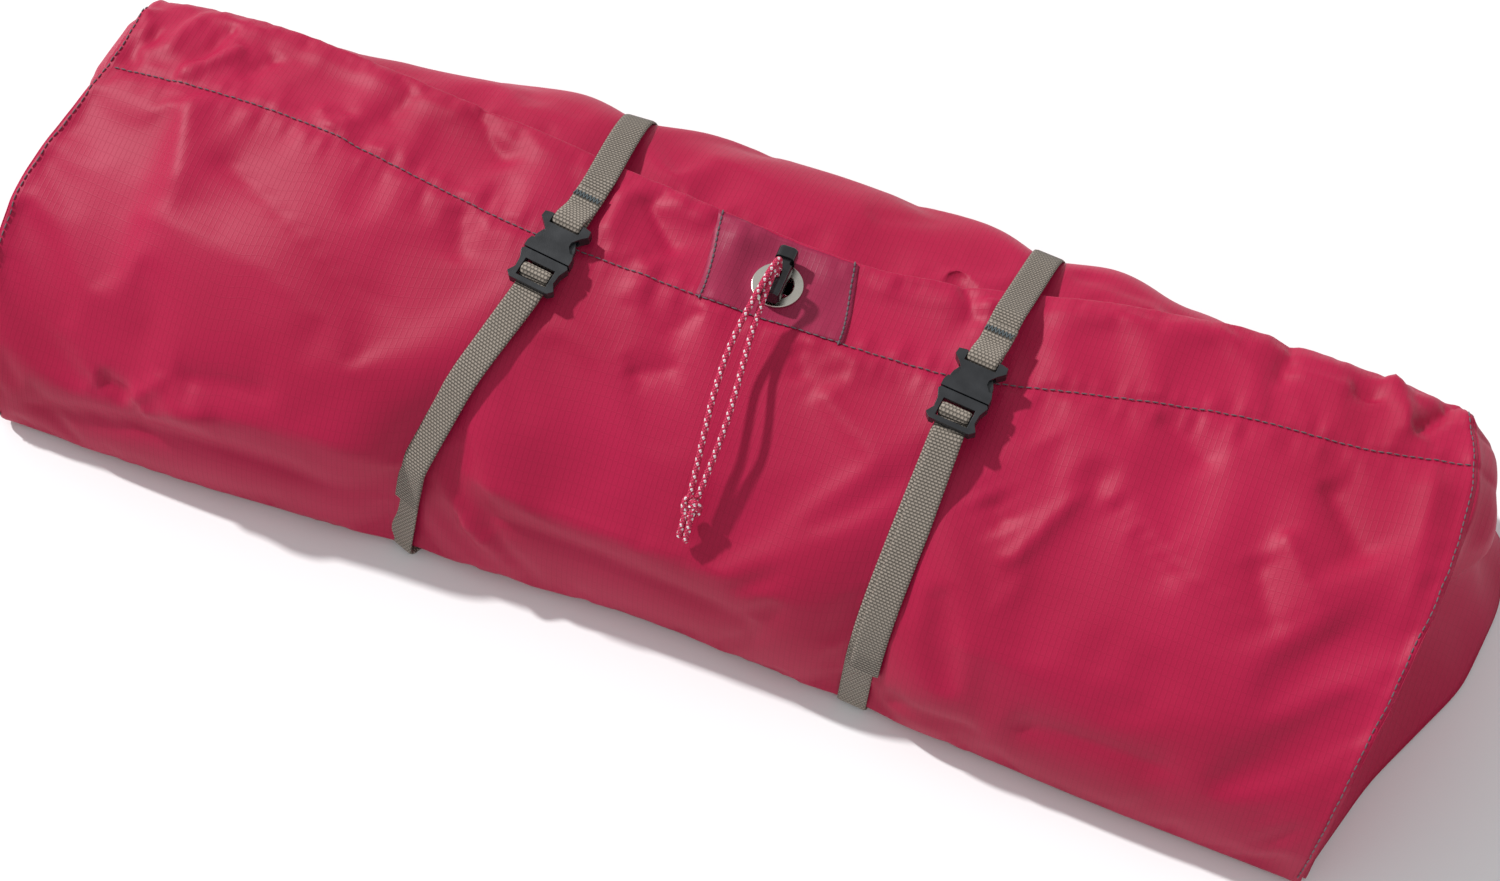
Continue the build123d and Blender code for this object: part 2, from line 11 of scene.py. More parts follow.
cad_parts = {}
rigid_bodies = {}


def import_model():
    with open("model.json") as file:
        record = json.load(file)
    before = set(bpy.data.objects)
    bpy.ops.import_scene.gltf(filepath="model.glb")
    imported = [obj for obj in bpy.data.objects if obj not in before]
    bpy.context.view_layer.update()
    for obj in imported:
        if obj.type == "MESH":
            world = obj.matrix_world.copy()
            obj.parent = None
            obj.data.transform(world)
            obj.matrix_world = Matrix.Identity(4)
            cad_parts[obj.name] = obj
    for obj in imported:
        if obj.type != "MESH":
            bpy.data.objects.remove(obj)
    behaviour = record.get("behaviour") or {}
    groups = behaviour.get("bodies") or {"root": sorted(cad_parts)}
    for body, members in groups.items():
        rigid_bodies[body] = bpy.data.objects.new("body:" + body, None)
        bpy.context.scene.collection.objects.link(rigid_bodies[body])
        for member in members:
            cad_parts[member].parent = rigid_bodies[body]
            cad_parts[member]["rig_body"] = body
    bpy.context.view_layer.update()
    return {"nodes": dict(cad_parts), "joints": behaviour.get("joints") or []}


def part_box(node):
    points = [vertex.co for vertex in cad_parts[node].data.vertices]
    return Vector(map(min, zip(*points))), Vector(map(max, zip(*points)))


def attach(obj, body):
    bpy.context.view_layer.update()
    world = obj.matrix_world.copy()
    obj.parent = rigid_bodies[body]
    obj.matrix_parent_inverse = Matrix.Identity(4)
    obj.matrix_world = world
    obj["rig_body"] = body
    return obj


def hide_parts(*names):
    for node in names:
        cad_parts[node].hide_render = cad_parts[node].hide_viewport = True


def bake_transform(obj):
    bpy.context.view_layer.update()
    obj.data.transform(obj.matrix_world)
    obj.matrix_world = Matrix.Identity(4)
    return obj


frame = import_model()
mm = 0.001
scene = bpy.context.scene
print("frame loaded,", len(frame["nodes"]), "nodes")

# Camera, light and floor

view = {
    "azimuth": 21.0, "elevation": 62.0, "distance": 1.3, "lens": 76.75, "target": (0.0145, -0.012, 0.040),
}
camera = bpy.data.objects.new("camera", bpy.data.cameras.new("camera"))
scene.collection.objects.link(camera)
scene.camera = camera
camera.data.lens = view["lens"]
camera.data.sensor_width = 36
camera.data.clip_start = 0.05
turn, tilt = math.radians(view["azimuth"]), math.radians(view["elevation"])
backward = Vector((math.sin(turn) * math.cos(tilt), -math.cos(turn) * math.cos(tilt), math.sin(tilt)))
camera.location = Vector(view["target"]) + backward * view["distance"]
camera.rotation_mode = "QUATERNION"
camera.rotation_quaternion = (-backward).to_track_quat("-Z", "Y")

studio = {"sun": 2.9, "softness": 3.0, "from": (-0.95, 0.30, 1.0), "sky": 0.60, "floor": 0.9}
sun = bpy.data.objects.new("keyLight", bpy.data.lights.new("keyLight", "SUN"))
scene.collection.objects.link(sun)
sun.data.energy = studio["sun"]
sun.data.angle = math.radians(studio["softness"])
sun.rotation_mode = "QUATERNION"
sun.rotation_quaternion = Vector(studio["from"]).to_track_quat("Z", "Y")
world = bpy.data.worlds.new("studio")
scene.world = world
world.use_nodes = True
world.node_tree.nodes["Background"].inputs["Color"].default_value = (0.97, 0.98, 1.0, 1)
world.node_tree.nodes["Background"].inputs["Strength"].default_value = studio["sky"]
scene.view_settings.view_transform = "Standard"


# Small tools

def smoothCurve(xs, knots, width):
    # a smooth curve through (x, value) knots, read at xs
    kx, ky = [k[0] for k in knots], [k[1] for k in knots]
    pad = 4 * width
    fine = np.linspace(kx[0] - pad, kx[-1] + pad, 1200)
    step = fine[1] - fine[0]
    values = np.interp(fine, kx, ky)
    half = int(3 * width / step) + 1
    kernel = np.exp(-0.5 * (np.arange(-half, half + 1) * step / width) ** 2)
    kernel /= kernel.sum()
    smooth = np.convolve(np.pad(values, half, mode="edge"), kernel, mode="valid")
    return np.interp(xs, fine, smooth)


def smoothStep(a, b, t):
    s = np.clip((t - a) / (b - a), 0, 1)
    return s * s * (3 - 2 * s)


def bump(t, centre, width):
    return np.exp(-0.5 * ((t - centre) / width) ** 2)


def meshObject(name, verts, faces, uvs=None):
    mesh = bpy.data.meshes.new(name)
    mesh.from_pydata([tuple(v) for v in verts], [], faces)
    mesh.validate()
    obj = bpy.data.objects.new(name, mesh)
    scene.collection.objects.link(obj)
    if uvs is not None:
        layer = mesh.uv_layers.new(name="cloth")
        flat = np.empty(len(mesh.loops), np.int32)
        mesh.loops.foreach_get("vertex_index", flat)
        layer.data.foreach_set("uv", np.asarray(uvs, np.float32)[flat].ravel())
    mesh.polygons.foreach_set("use_smooth", [True] * len(mesh.polygons))
    return obj


def gridFaces(rows, cols, first=0, flip=False, closed=False):
    faces = []
    for i in range(rows - 1):
        for j in range(cols if closed else cols - 1):
            a, b = first + i * cols + j, first + i * cols + (j + 1) % cols
            quad = (a, b, b + cols, a + cols)
            faces.append(quad[::-1] if flip else quad)
    return faces


def gridNormals(grid):
    along = np.gradient(grid, axis=1)
    up = np.gradient(grid, axis=0)
    normal = np.cross(along, up)
    return normal / np.maximum(np.linalg.norm(normal, axis=2, keepdims=True), 1e-9)


def runLength(points):
    return np.concatenate([[0], np.cumsum(np.linalg.norm(np.diff(points, axis=0), axis=1))])


def resampled(points, at):
    run = runLength(points)
    return np.column_stack([np.interp(at, run, points[:, k]) for k in range(points.shape[1])])


def smoothed(points, width, step):
    # a line of evenly spaced points, rounded over width, with its two ends kept
    half = int(3 * width / step) + 1
    kernel = np.exp(-0.5 * (np.arange(-half, half + 1) * step / width) ** 2)
    kernel /= kernel.sum()
    before = 2 * points[0] - points[half:0:-1]
    after = 2 * points[-1] - points[-2:-half - 2:-1]
    line = np.vstack([before, points, after])
    return np.column_stack([np.convolve(line[:, k], kernel, mode="valid") for k in range(points.shape[1])])


# Materials

class Wire:
    def __init__(self, shade, socket):
        self.shade, self.socket = shade, socket

    def math(self, operation, other=0.0, swap=False):
        pair = (other, self) if swap else (self, other)
        return self.shade.make("ShaderNodeMath", {"operation": operation}, dict(enumerate(pair)))

    def __add__(self, other):
        return self.math("ADD", other)

    def __sub__(self, other):
        return self.math("SUBTRACT", other)

    def __rsub__(self, other):
        return self.math("SUBTRACT", other, True)

    def __mul__(self, other):
        return self.math("MULTIPLY", other)

    def __truediv__(self, other):
        return self.math("DIVIDE", other)

    __radd__, __rmul__ = __add__, __mul__


class Shade:
    def __init__(self, name, roughness, metallic=0.0):
        self.material = bpy.data.materials.new(name)
        self.material.use_nodes = True
        self.tree = self.material.node_tree
        self.surface = self.tree.nodes["Principled BSDF"]
        self.surface.inputs["Roughness"].default_value = roughness
        self.surface.inputs["Metallic"].default_value = metallic

    def feed(self, socket, value):
        if isinstance(value, Wire):
            self.tree.links.new(value.socket, socket)
        else:
            socket.default_value = value

    def make(self, kind, settings=None, values=None, output=0):
        node = self.tree.nodes.new(kind)
        for key, value in (settings or {}).items():
            setattr(node, key, value)
        for key, value in (values or {}).items():
            self.feed(node.inputs[key], value)
        return Wire(self, node.outputs[output])

    def place(self):
        return self.make("ShaderNodeTexCoord", output=3)

    def uv(self):
        cloth = self.make("ShaderNodeUVMap", {"uv_map": "cloth"})
        both = self.make("ShaderNodeSeparateXYZ", values={0: cloth})
        return both, Wire(self, both.socket.node.outputs[1])

    def noise(self, scale, detail):
        return self.make("ShaderNodeTexNoise", {}, {"Vector": self.place(), "Scale": scale, "Detail": detail})

    def mix(self, factor, a, b):
        return self.make("ShaderNodeMix", {"data_type": "RGBA"}, {0: factor, 6: a, 7: b}, 2)

    def finish(self, colour, height=None, depth=0.0002, roughness=None):
        self.feed(self.surface.inputs["Base Color"], colour)
        if roughness is not None:
            self.feed(self.surface.inputs["Roughness"], roughness)
        if height is not None:
            bent = self.make("ShaderNodeBump", {}, {"Strength": 1.0, "Distance": depth, "Height": height})
            self.feed(self.surface.inputs["Normal"], bent)
        return self.material


def line(value, spacing, width):
    # 1 on thin lines that repeat every spacing, 0 between them
    near = value.math("PINGPONG", spacing / 2)
    return (1 - near / width).math("MAXIMUM", 0.0)


def nylonMaterial(name, colour, deep, gloss):
    shade = Shade(name, gloss)
    u, v = shade.uv()
    ribs = line(u, 0.0022, 0.00030).math("MAXIMUM", line(v, 0.0046, 0.00030) * 0.7)
    patches = shade.noise(14.0, 3.0)
    grain = shade.noise(1500.0, 2.0)
    tone = shade.mix((patches - 0.35) * 1.6, (*colour, 1), (*deep, 1))
    tone = shade.mix(ribs * 0.26, tone, tuple(c * 0.6 for c in deep) + (1,))
    tone = shade.mix((grain - 0.5) * 0.45, tone, tuple(min(c * 1.4 + 0.01, 1) for c in colour) + (1,))
    soft = shade.noise(40.0, 1.0)
    height = ribs * 0.05 + grain * 0.06 + soft * 0.5
    return shade.finish(tone, height, 0.0007, gloss + (patches - 0.5) * 0.10)


def webbingMaterial():
    shade = Shade("webbing", 0.72)
    u, v = shade.uv()
    rowHeight, yarn = 0.00125, 0.00156
    row = (v / rowHeight).math("FLOOR")
    shifted = u / yarn + row * 0.5
    across = (shifted.math("FRACT") * math.pi).math("SINE")
    along = ((v / rowHeight).math("FRACT") * math.pi).math("SINE")
    # the weave's height, which also sets the painted shade in the grooves between yarns
    heightAndGrooveShade = (across.math("POWER", 0.5) * along).math("POWER", 0.7)
    fleck = shade.noise(900.0, 2.0)
    # painted shade: the weave's low grooves are coloured near black, the raised yarns in the webbing's own
    # grey
    tone = shade.mix(heightAndGrooveShade, (0.045, 0.037, 0.030, 1), (0.37, 0.315, 0.26, 1))
    tone = shade.mix((fleck - 0.4) * 0.8, tone, (0.20, 0.165, 0.125, 1))
    return shade.finish(tone, heightAndGrooveShade, 0.0005)


def cordMaterial():
    shade = Shade("cord", 0.6)
    u, v = shade.uv()
    pitch = 0.0052
    one = (v / pitch + u * 2.0).math("FRACT")
    two = (v / (pitch * 0.5) - u * 2.0).math("FRACT")
    tracer = one.math("LESS_THAN", 0.30) * two.math("LESS_THAN", 0.55)
    strandA = ((v / 0.0013 + u * 4.0).math("FRACT") * math.pi).math("SINE")
    strandB = ((v / 0.0013 - u * 4.0).math("FRACT") * math.pi).math("SINE")
    # the braid's height, which also sets the painted shade in the grooves between strands
    heightAndGrooveShade = strandA * strandB
    # painted shade: the braid's low grooves are coloured a darker pink, the raised strands in the cord's own
    # pink
    tone = shade.mix(heightAndGrooveShade, (0.36, 0.008, 0.045, 1), (0.72, 0.022, 0.11, 1))
    tone = shade.mix(tracer, tone, (0.82, 0.72, 0.74, 1))
    return shade.finish(tone, heightAndGrooveShade, 0.0003)


def plasticMaterial(name, colour, gloss, grainSize, depth):
    shade = Shade(name, gloss)
    grain = shade.noise(grainSize, 2.0)
    wear = shade.noise(160.0, 3.0)
    tone = shade.mix((wear - 0.35) * 1.2, (*colour, 1), tuple(c * 1.9 + 0.004 for c in colour) + (1,))
    return shade.finish(tone, grain, depth, gloss + (wear - 0.5) * 0.2)


def metalMaterial(name, colour, gloss):
    shade = Shade(name, gloss, 1.0)
    scuff = shade.noise(700.0, 4.0)
    cloud = shade.noise(120.0, 2.0)
    tone = shade.mix((cloud - 0.3) * 1.1, (*colour, 1), tuple(c * 0.72 for c in colour) + (1,))
    return shade.finish(tone, scuff, 0.00003, gloss + (cloud - 0.5) * 0.3)


def threadMaterial(name, colour):
    shade = Shade(name, 0.7)
    twist = shade.noise(2600.0, 1.0)
    tone = shade.mix(twist, tuple(c * 0.5 for c in colour) + (1,), (*colour, 1))
    return shade.finish(tone, twist, 0.0001)


nylon = nylonMaterial("nylon", (0.42, 0.004, 0.052), (0.32, 0.002, 0.032), 0.53)
patchNylon = nylonMaterial("patchNylon", (0.31, 0.016, 0.062), (0.25, 0.010, 0.045), 0.48)
for fabric in (nylon, patchNylon):
    fabric.node_tree.nodes["Principled BSDF"].inputs["Specular IOR Level"].default_value = 0.28
webbing = webbingMaterial()
cordBraid = cordMaterial()
bucklePlastic = plasticMaterial("bucklePlastic", (0.011, 0.012, 0.014), 0.34, 2200.0, 0.00003)
lockPlastic = plasticMaterial("lockPlastic", (0.010, 0.010, 0.011), 0.20, 500.0, 0.00001)
nickel = metalMaterial("nickel", (0.66, 0.62, 0.55), 0.26)
springSteel = metalMaterial("springSteel", (0.50, 0.50, 0.50), 0.32)
thread = threadMaterial("thread", (0.16, 0.12, 0.14))
tackThread = threadMaterial("tackThread", (0.10, 0.125, 0.135))
print("materials made")

# The sack's form, in millimetres, in the frame's axes: x along the sack, y towards its back, z up

sack = {
    "columns": 151,
    "frontRows": 46,
    "hemRows": 13,
    "backRows": 34,
    "front": [(-300, -97), (-200, -97), (-110, -91), (-10, -87), (90, -91), (190, -98), (290, -101)],
    "back": [(-300, 84), (-200, 94), (-100, 102), (0, 105), (100, 104), (200, 99), (290, 93)],
    "height": [(-300, 85), (-240, 96), (-160, 99), (-90, 100), (-40, 96),
               (20, 93), (100, 93), (220, 91), (290, 85)],
    "bulge": [(-300, 5), (-200, 6.5), (0, 8), (200, 7), (300, 5)],
    "apex": [(-300, 24), (0, 18), (300, 26)],
    "leftSeam": [(0, -288), (0.2, -299), (0.38, -302), (0.47, -296),
                 (0.56, -289), (0.66, -287), (0.8, -292), (1, -286)],
    "rightSeam": [(0, 277), (0.12, 280), (0.3, 288), (0.5, 295),
                  (0.66, 293), (0.78, 276), (1, 284)],
    "hemLine": [(-300, 33), (-240, 32), (-195, 31), (-95, 15), (-20, 12),
                (92, 16), (203, 42), (250, 45), (290, 57)],
    "mouthLine": [(-300, 80), (-266, 77), (-230, 75), (-136, 63), (-22, 51),
                  (41, 50), (98, 61), (200, 84), (290, 88)],
    "low": 1.9,
    "frontInset": 4,
    "backInset": [(-300, 14), (-200, 20), (200, 20), (300, 6)],
    "backBulge": 42.0,
}


def bezierPoints(p0, p1, p2, p3, t):
    t = t[:, None]
    return (1 - t) ** 3 * p0 + 3 * t * (1 - t) ** 2 * p1 + 3 * t * t * (1 - t) * p2 + t**3 * p3


def section(x):
    # dense points (y, z) of the sack's outline at x, from the base's front edge round to its back
    keys = ("front", "back", "height", "bulge", "apex", "backInset")
    at = {key: float(smoothCurve([x], sack[key], 18)[0]) for key in keys}
    front, back, low = at["front"], at["back"], sack["low"]
    high = at["height"] + low
    perCurve = 70
    t = np.linspace(0, 1, perCurve)
    corners = [(front + sack["frontInset"], low), (front, at["bulge"]), (at["apex"], high)]
    corners += [(back, sack["backBulge"]), (back - at["backInset"], low)]
    parts = []
    for i, full in enumerate((0.60, 0.60, 0.80, 0.80)):
        (y0, z0), (y1, z1) = corners[i], corners[i + 1]
        if i % 2 == 0:
            mid = ((y0 + full * (y1 - y0), z0), (y1, z1 - full * (z1 - z0)))
        else:
            mid = ((y0, z0 + full * (z1 - z0)), (y1 - full * (y1 - y0), z1))
        curve = bezierPoints(*[np.array(p, float) for p in (corners[i], *mid, corners[i + 1])], t)
        parts.append(curve if i == 0 else curve[1:])
    return np.vstack(parts), perCurve - 1, (perCurve - 1) * 3


def sectionRows(x):
    # the outline's points with one row on the hem line and one on the mouth line
    points, bulge, backBulge = section(x)
    run = runLength(points)
    hemY = float(smoothCurve([x], sack["hemLine"], 14)[0])
    mouthY = float(smoothCurve([x], sack["mouthLine"], 14)[0])
    top = slice(bulge, backBulge)
    hemAt = np.interp(hemY, points[top, 0], run[top])
    mouthAt = np.interp(mouthY, points[top, 0], run[top])
    at = np.concatenate([
        np.linspace(0, hemAt, sack["frontRows"], endpoint=False),
        np.linspace(hemAt, mouthAt, sack["hemRows"], endpoint=False),
        np.linspace(mouthAt, run[-1], sack["backRows"]),
    ])
    return resampled(points, at), at / run[-1]


rows = sack["frontRows"] + sack["hemRows"] + sack["backRows"]
cols = sack["columns"]
hemRow, mouthRow = sack["frontRows"], sack["frontRows"] + sack["hemRows"]
stations = np.arange(-320, 321, 5.0)
table = np.array([sectionRows(x)[0] for x in stations])
leftShare, rightShare = sectionRows(-295)[1], sectionRows(285)[1]
leftEdge = smoothCurve(leftShare, sack["leftSeam"], 0.05)
rightEdge = smoothCurve(rightShare, sack["rightSeam"], 0.05)
across = np.linspace(0, 1, cols)
form = np.zeros((rows, cols, 3))
for j in range(rows):
    xs = leftEdge[j] + (rightEdge[j] - leftEdge[j]) * across
    form[j, :, 0] = xs
    form[j, :, 1] = np.interp(xs, stations, table[:, j, 0])
    form[j, :, 2] = np.interp(xs, stations, table[:, j, 1])


def fromHem(grid, hem):
    # distance over the cloth from the hem line: negative towards the front, positive towards the back
    steps = np.linalg.norm(np.diff(grid, axis=0), axis=2)
    run = np.concatenate([np.zeros((1, grid.shape[1])), np.cumsum(steps, axis=0)])
    return run - run[hem]


# Folds, each a line of (x, v) points, where v is the distance over the cloth from the hem line, then its
# width at each end, its height, and how much wider its second side is

folds = [
    (((-245, -4), (-230, -54)), 5, 15, 3.6, 1.3),
    (((-254, -58), (-182, -64), (-104, -80)), 10, 16, 2.6, 1.4),
    (((-230, -24), (-148, -54), (-108, -54)), 7, 16, -3.0, 1.0),
    (((-242, -130), (-226, -136)), 4, 5, -3.4, 1.0),
    (((-225, -135), (-210, -118)), 3.5, 6, 2.6, 1.0),
    (((-224, -140), (-184, -128)), 4, 8, 3.2, 1.4),
    (((-217, -134), (-146, -114), (-76, -110)), 7, 10, 3.6, 1.6),
    (((-284, -160), (-212, -147), (-110, -130)), 7, 9, -4.4, 1.0),
    (((-208, -118), (-160, -104)), 6, 9, -2.6, 1.0),
    (((-286, 36), (-274, 4)), 3, 4, 3.0, 1.0),
    (((-276, 24), (-281, 0)), 2.5, 4, -3.2, 1.0),
    (((-262, 38), (-268, 8)), 2.5, 4, 2.8, 1.2),
    (((-236, 26), (-258, 0)), 3, 5, 3.2, 1.0),
    (((-247, 38), (-253, 8)), 2.5, 4, -3.0, 1.0),
    (((-222, 30), (-232, 10)), 3, 5, -2.2, 1.0),
    (((-194, 12), (-183, 0)), 3, 4, 2.0, 1.0),
    (((-182, 12), (-178, -4)), 3, 4, 1.8, 1.0),
    (((-160, 38), (-168, 14)), 4, 6, -1.8, 1.0),
    (((-135, 42), (-108, 22)), 5, 8, -2.6, 1.0),
    (((-120, -2), (-112, -26)), 3, 8, -2.0, 1.0),
    (((-88, -104), (-56, -102), (14, -98), (76, -108)), 6, 12, 4.6, 1.5),
    (((-84, -116), (-20, -114), (60, -122)), 5, 9, -2.6, 1.0),
    (((-82, -126), (-66, -134)), 4, 6, 2.2, 1.0),
    (((40, -20), (84, -50)), 4, 13, 2.8, 1.8),
    (((28, -6), (34, -22)), 3, 5, -1.6, 1.0),
    (((-14, -4), (-24, -22)), 3, 6, -1.6, 1.0),
    (((-32, -40), (-12, -28)), 5, 7, -2.2, 1.0),
    (((-62, 34), (-60, 6)), 3, 5, 3.0, 1.4),
    (((-54, 36), (-30, 12)), 3, 6, -2.8, 1.0),
    (((-44, 38), (-23, 34)), 3, 4, 1.8, 1.0),
    (((-40, 6), (-42, -14)), 3, 5, 1.6, 1.0),
    (((132, -78), (155, -36)), 3.5, 6, 2.8, 1.3),
    (((155, -36), (194, -66), (258, -94)), 4, 10, 2.8, 1.6),
    (((163, -42), (201, -78)), 4, 8, -2.2, 1.0),
    (((119, -48), (130, -62)), 5, 6, -2.8, 1.0),
    (((169, -4), (199, -26)), 3, 8, -2.4, 1.3),
    (((227, -43), (262, -84)), 3, 15, 3.6, 1.4),
    (((222, -56), (240, -90)), 5, 14, -2.6, 1.0),
    (((238, -17), (266, -54)), 4, 13, -3.8, 1.0),
    (((115, -108), (200, -120), (262, -130)), 8, 14, 3.0, 1.4),
    (((100, -144), (148, -154)), 5, 7, -3.0, 1.0),
    (((150, -142), (230, -150)), 7, 10, -2.6, 1.0),
    (((72, 53), (95, 20)), 3, 6, -2.6, 1.0),
    (((92, 39), (91, 20)), 3, 4, 2.2, 1.0),
    (((206, 50), (212, 16)), 3.5, 7, -2.6, 1.4),
    (((210, 27), (244, 26)), 4, 6, 2.4, 1.3),
    (((249, 42), (265, 6)), 3, 5, 3.8, 1.0),
    (((264, 11), (280, 38)), 3, 5, -5.0, 1.0),
    (((276, 34), (286, 20)), 3, 4, 3.4, 1.0),
    (((248, 27), (234, 28)), 3, 5, -2.8, 1.0),
    (((276, -4), (284, -80)), 6, 10, 3.0, 1.4),
    (((-46, 73), (50, 55)), 7, 12, 1.6, 1.4),
    (((-126, 72), (-88, 68)), 5, 8, -1.2, 1.0),
    (((30, 68), (64, 84)), 5, 9, -1.2, 1.2),
    (((114, 66), (184, 50)), 5, 10, -2.2, 1.0),
    (((-150, 98), (-60, 104)), 8, 14, 1.8, 1.4),
    (((120, 100), (230, 92)), 7, 13, 1.8, 1.3),
    (((-250, 114), (-120, 128)), 8, 14, 2.4, 1.4),
    (((-40, 134), (60, 118)), 8, 12, 2.2, 1.3),
    (((120, 122), (230, 132)), 8, 14, 2.0, 1.2),
]


def foldHeight(x, v):
    total = np.zeros_like(x)
    for points, w0, w1, height, wider in folds:
        sizes = [math.dist(a, b) for a, b in zip(points, points[1:])]
        whole, before = sum(sizes), 0.0
        nearest = np.full(x.shape, 1e9)
        value = np.zeros_like(x)
        for k, ((x0, v0), (x1, v1)) in enumerate(zip(points, points[1:])):
            size = sizes[k]
            along = ((x - x0) * (x1 - x0) + (v - v0) * (v1 - v0)) / size
            aside = (-(x - x0) * (v1 - v0) + (v - v0) * (x1 - x0)) / size
            over = np.maximum(0, -along) + np.maximum(0, along - size)
            far = np.hypot(aside, over)
            share = (before + np.clip(along, 0, size)) / whole
            width = (w0 + (w1 - w0) * share) * np.where(aside > 0, wider, 1.0)
            fade = smoothStep(0, 0.12, share) * smoothStep(1.0, 0.72, share)
            ridge = np.exp(-(np.sqrt(far**2 + 1.2) - 1.1) / width)
            profile = ridge * np.exp(-0.5 * (far / (2.2 * width)) ** 2)
            value = np.where(far < nearest, height * fade * profile, value)
            nearest = np.minimum(nearest, far)
            before += size
        total += value
    return total


# Where the straps run, seen from above

strapSettings = {
    "left": {"x": -77.5, "upper": -2.0, "buckle": 8.0, "lower": 20.5, "tailShift": 0.5},
    "right": {"x": 97.5, "upper": 4.0, "buckle": 6.0, "lower": 5.0, "tailShift": 2.6},
}
buckleSpan = {"y": 6.4, "back": 34, "front": 24}


def strapX(name, y):
    # a strap's middle line from above: its upper part, its buckle and its lower part each lean their own way
    s, middleY = strapSettings[name], buckleSpan["y"]
    back, front = buckleSpan["back"], buckleSpan["front"]
    upper, buckle, lower = (math.tan(math.radians(s[key])) for key in ("upper", "buckle", "lower"))
    above = s["x"] + back * buckle + (y - middleY - back) * upper
    below = s["x"] - front * buckle + (y - middleY + front) * lower
    middle = s["x"] + (y - middleY) * buckle
    return np.where(y > middleY + back, above, np.where(y < middleY - front, below, middle))


def strapPress(x, y, z):
    # how far the straps draw the cloth in, and how it swells beside them
    total = np.zeros_like(x)
    for name in strapSettings:
        aside = x - strapX(name, y)
        taut = 1 - bump(y, 8, 26) * (z > 45)
        crest = 1 - 0.75 * smoothStep(70, 88, z)
        total += taut * crest * (-4.2 * bump(aside, 0, 11) + 1.8 * bump(np.abs(aside), 30, 13))
    return total


def wander(x, v, seed, size, height):
    # slow unevenness of a soft load
    draw = np.random.default_rng(seed)
    total = np.zeros_like(x)
    for _ in range(9):
        way, phase = draw.uniform(0, math.tau), draw.uniform(0, math.tau)
        pitch = size * draw.uniform(0.7, 1.6)
        total += np.sin((x * math.cos(way) + v * math.sin(way)) * math.tau / pitch + phase)
    return total / 3 * height


def offset(grid, amount):
    return grid + gridNormals(grid) * amount[:, :, None]


v = fromHem(form, hemRow)
x = form[:, :, 0]
edgeFade = smoothStep(0, 18, v - v[0]) * smoothStep(0, 18, v[-1] - v)
form = offset(form, edgeFade * (foldHeight(x, v) + strapPress(x, form[:, :, 1], form[:, :, 2])
                                + wander(x, v, 3, 140, 1.1)))
print("form ready", form.shape)

# End gussets, which hang from the seams to the base and fold inwards

gusset = {
    "steps": 16,
    "rightBase": [(-99, 278), (-49, 292), (4, 316), (45, 321), (72, 316), (92, 300)],
    "leftBase": [(-99, -286), (-49, -304), (0, -309), (45, -306), (70, -296), (90, -288)],
    "fold": 20.0,
    "brim": 9.0,
}


def endCurtain(edge, side):
    # rows of points from the seam's arch down to the base's end line
    base = gusset["rightBase"] if side > 0 else gusset["leftBase"]
    lowY, highY = edge[0, 1], edge[-1, 1]
    footY = np.clip(edge[:, 1], lowY, highY)
    foot = np.column_stack([smoothCurve(footY, base, 6), footY, np.full(len(edge), sack["low"])])
    foot[0], foot[-1] = edge[0], edge[-1]
    blendIn = smoothStep(0, 12, np.abs(footY - lowY)) * smoothStep(0, 12, np.abs(highY - footY))
    foot[:, 0] = edge[:, 0] + (foot[:, 0] - edge[:, 0]) * np.clip(blendIn * 1.2, 0, 1)
    t = np.linspace(0, 1, gusset["steps"])
    curtain = edge[:, None, :] + (foot - edge)[:, None, :] * t[None, :, None]
    tall = np.linalg.norm(foot - edge, axis=1)
    y = edge[:, 1]
    depth = gusset["fold"] * bump(y, -16, 44) + 5 * bump(y, 62, 16) - 5 * bump(y, 36, 12)
    depth = depth * smoothStep(4, 40, tall)
    crease = np.where(t < 0.62, t / 0.62, (1 - t) / 0.38)
    crease = 0.6 * crease**0.9 + 0.4 * np.sin(math.pi * t)
    curtain[:, :, 0] -= side * depth[:, None] * crease[None, :]
    brim = gusset["brim"] * smoothStep(0, 0.16, t) * smoothStep(0.5, 0.2, t)
    curtain[:, :, 0] += side * (smoothStep(8, 34, y) * smoothStep(92, 70, y))[:, None] * brim[None, :]
    return curtain


curtains = {"right": endCurtain(form[:, -1], 1), "left": endCurtain(form[:, 0], -1)}

# One cloth simulation on the whole closed shell lets the nylon slacken and crease between its seams

cloth = {"frames": 22, "loose": -0.010, "pressure": 0.3, "cap": 3.0, "bending": 1.0}


def wholeShell():
    verts = list(form.reshape(-1, 3))
    faces = gridFaces(rows, cols)
    for side, curtain in curtains.items():
        first = len(verts)
        verts += list(curtain.reshape(-1, 3))
        faces += gridFaces(rows, gusset["steps"], first, side == "left")
    first = len(verts)
    steps = 24
    for k in range(steps + 1):
        t = k / steps
        for j in range(cols):
            verts.append(form[0, j] * (1 - t) + form[-1, j] * t)
    faces += gridFaces(steps + 1, cols, first, True)
    return np.array(verts), faces


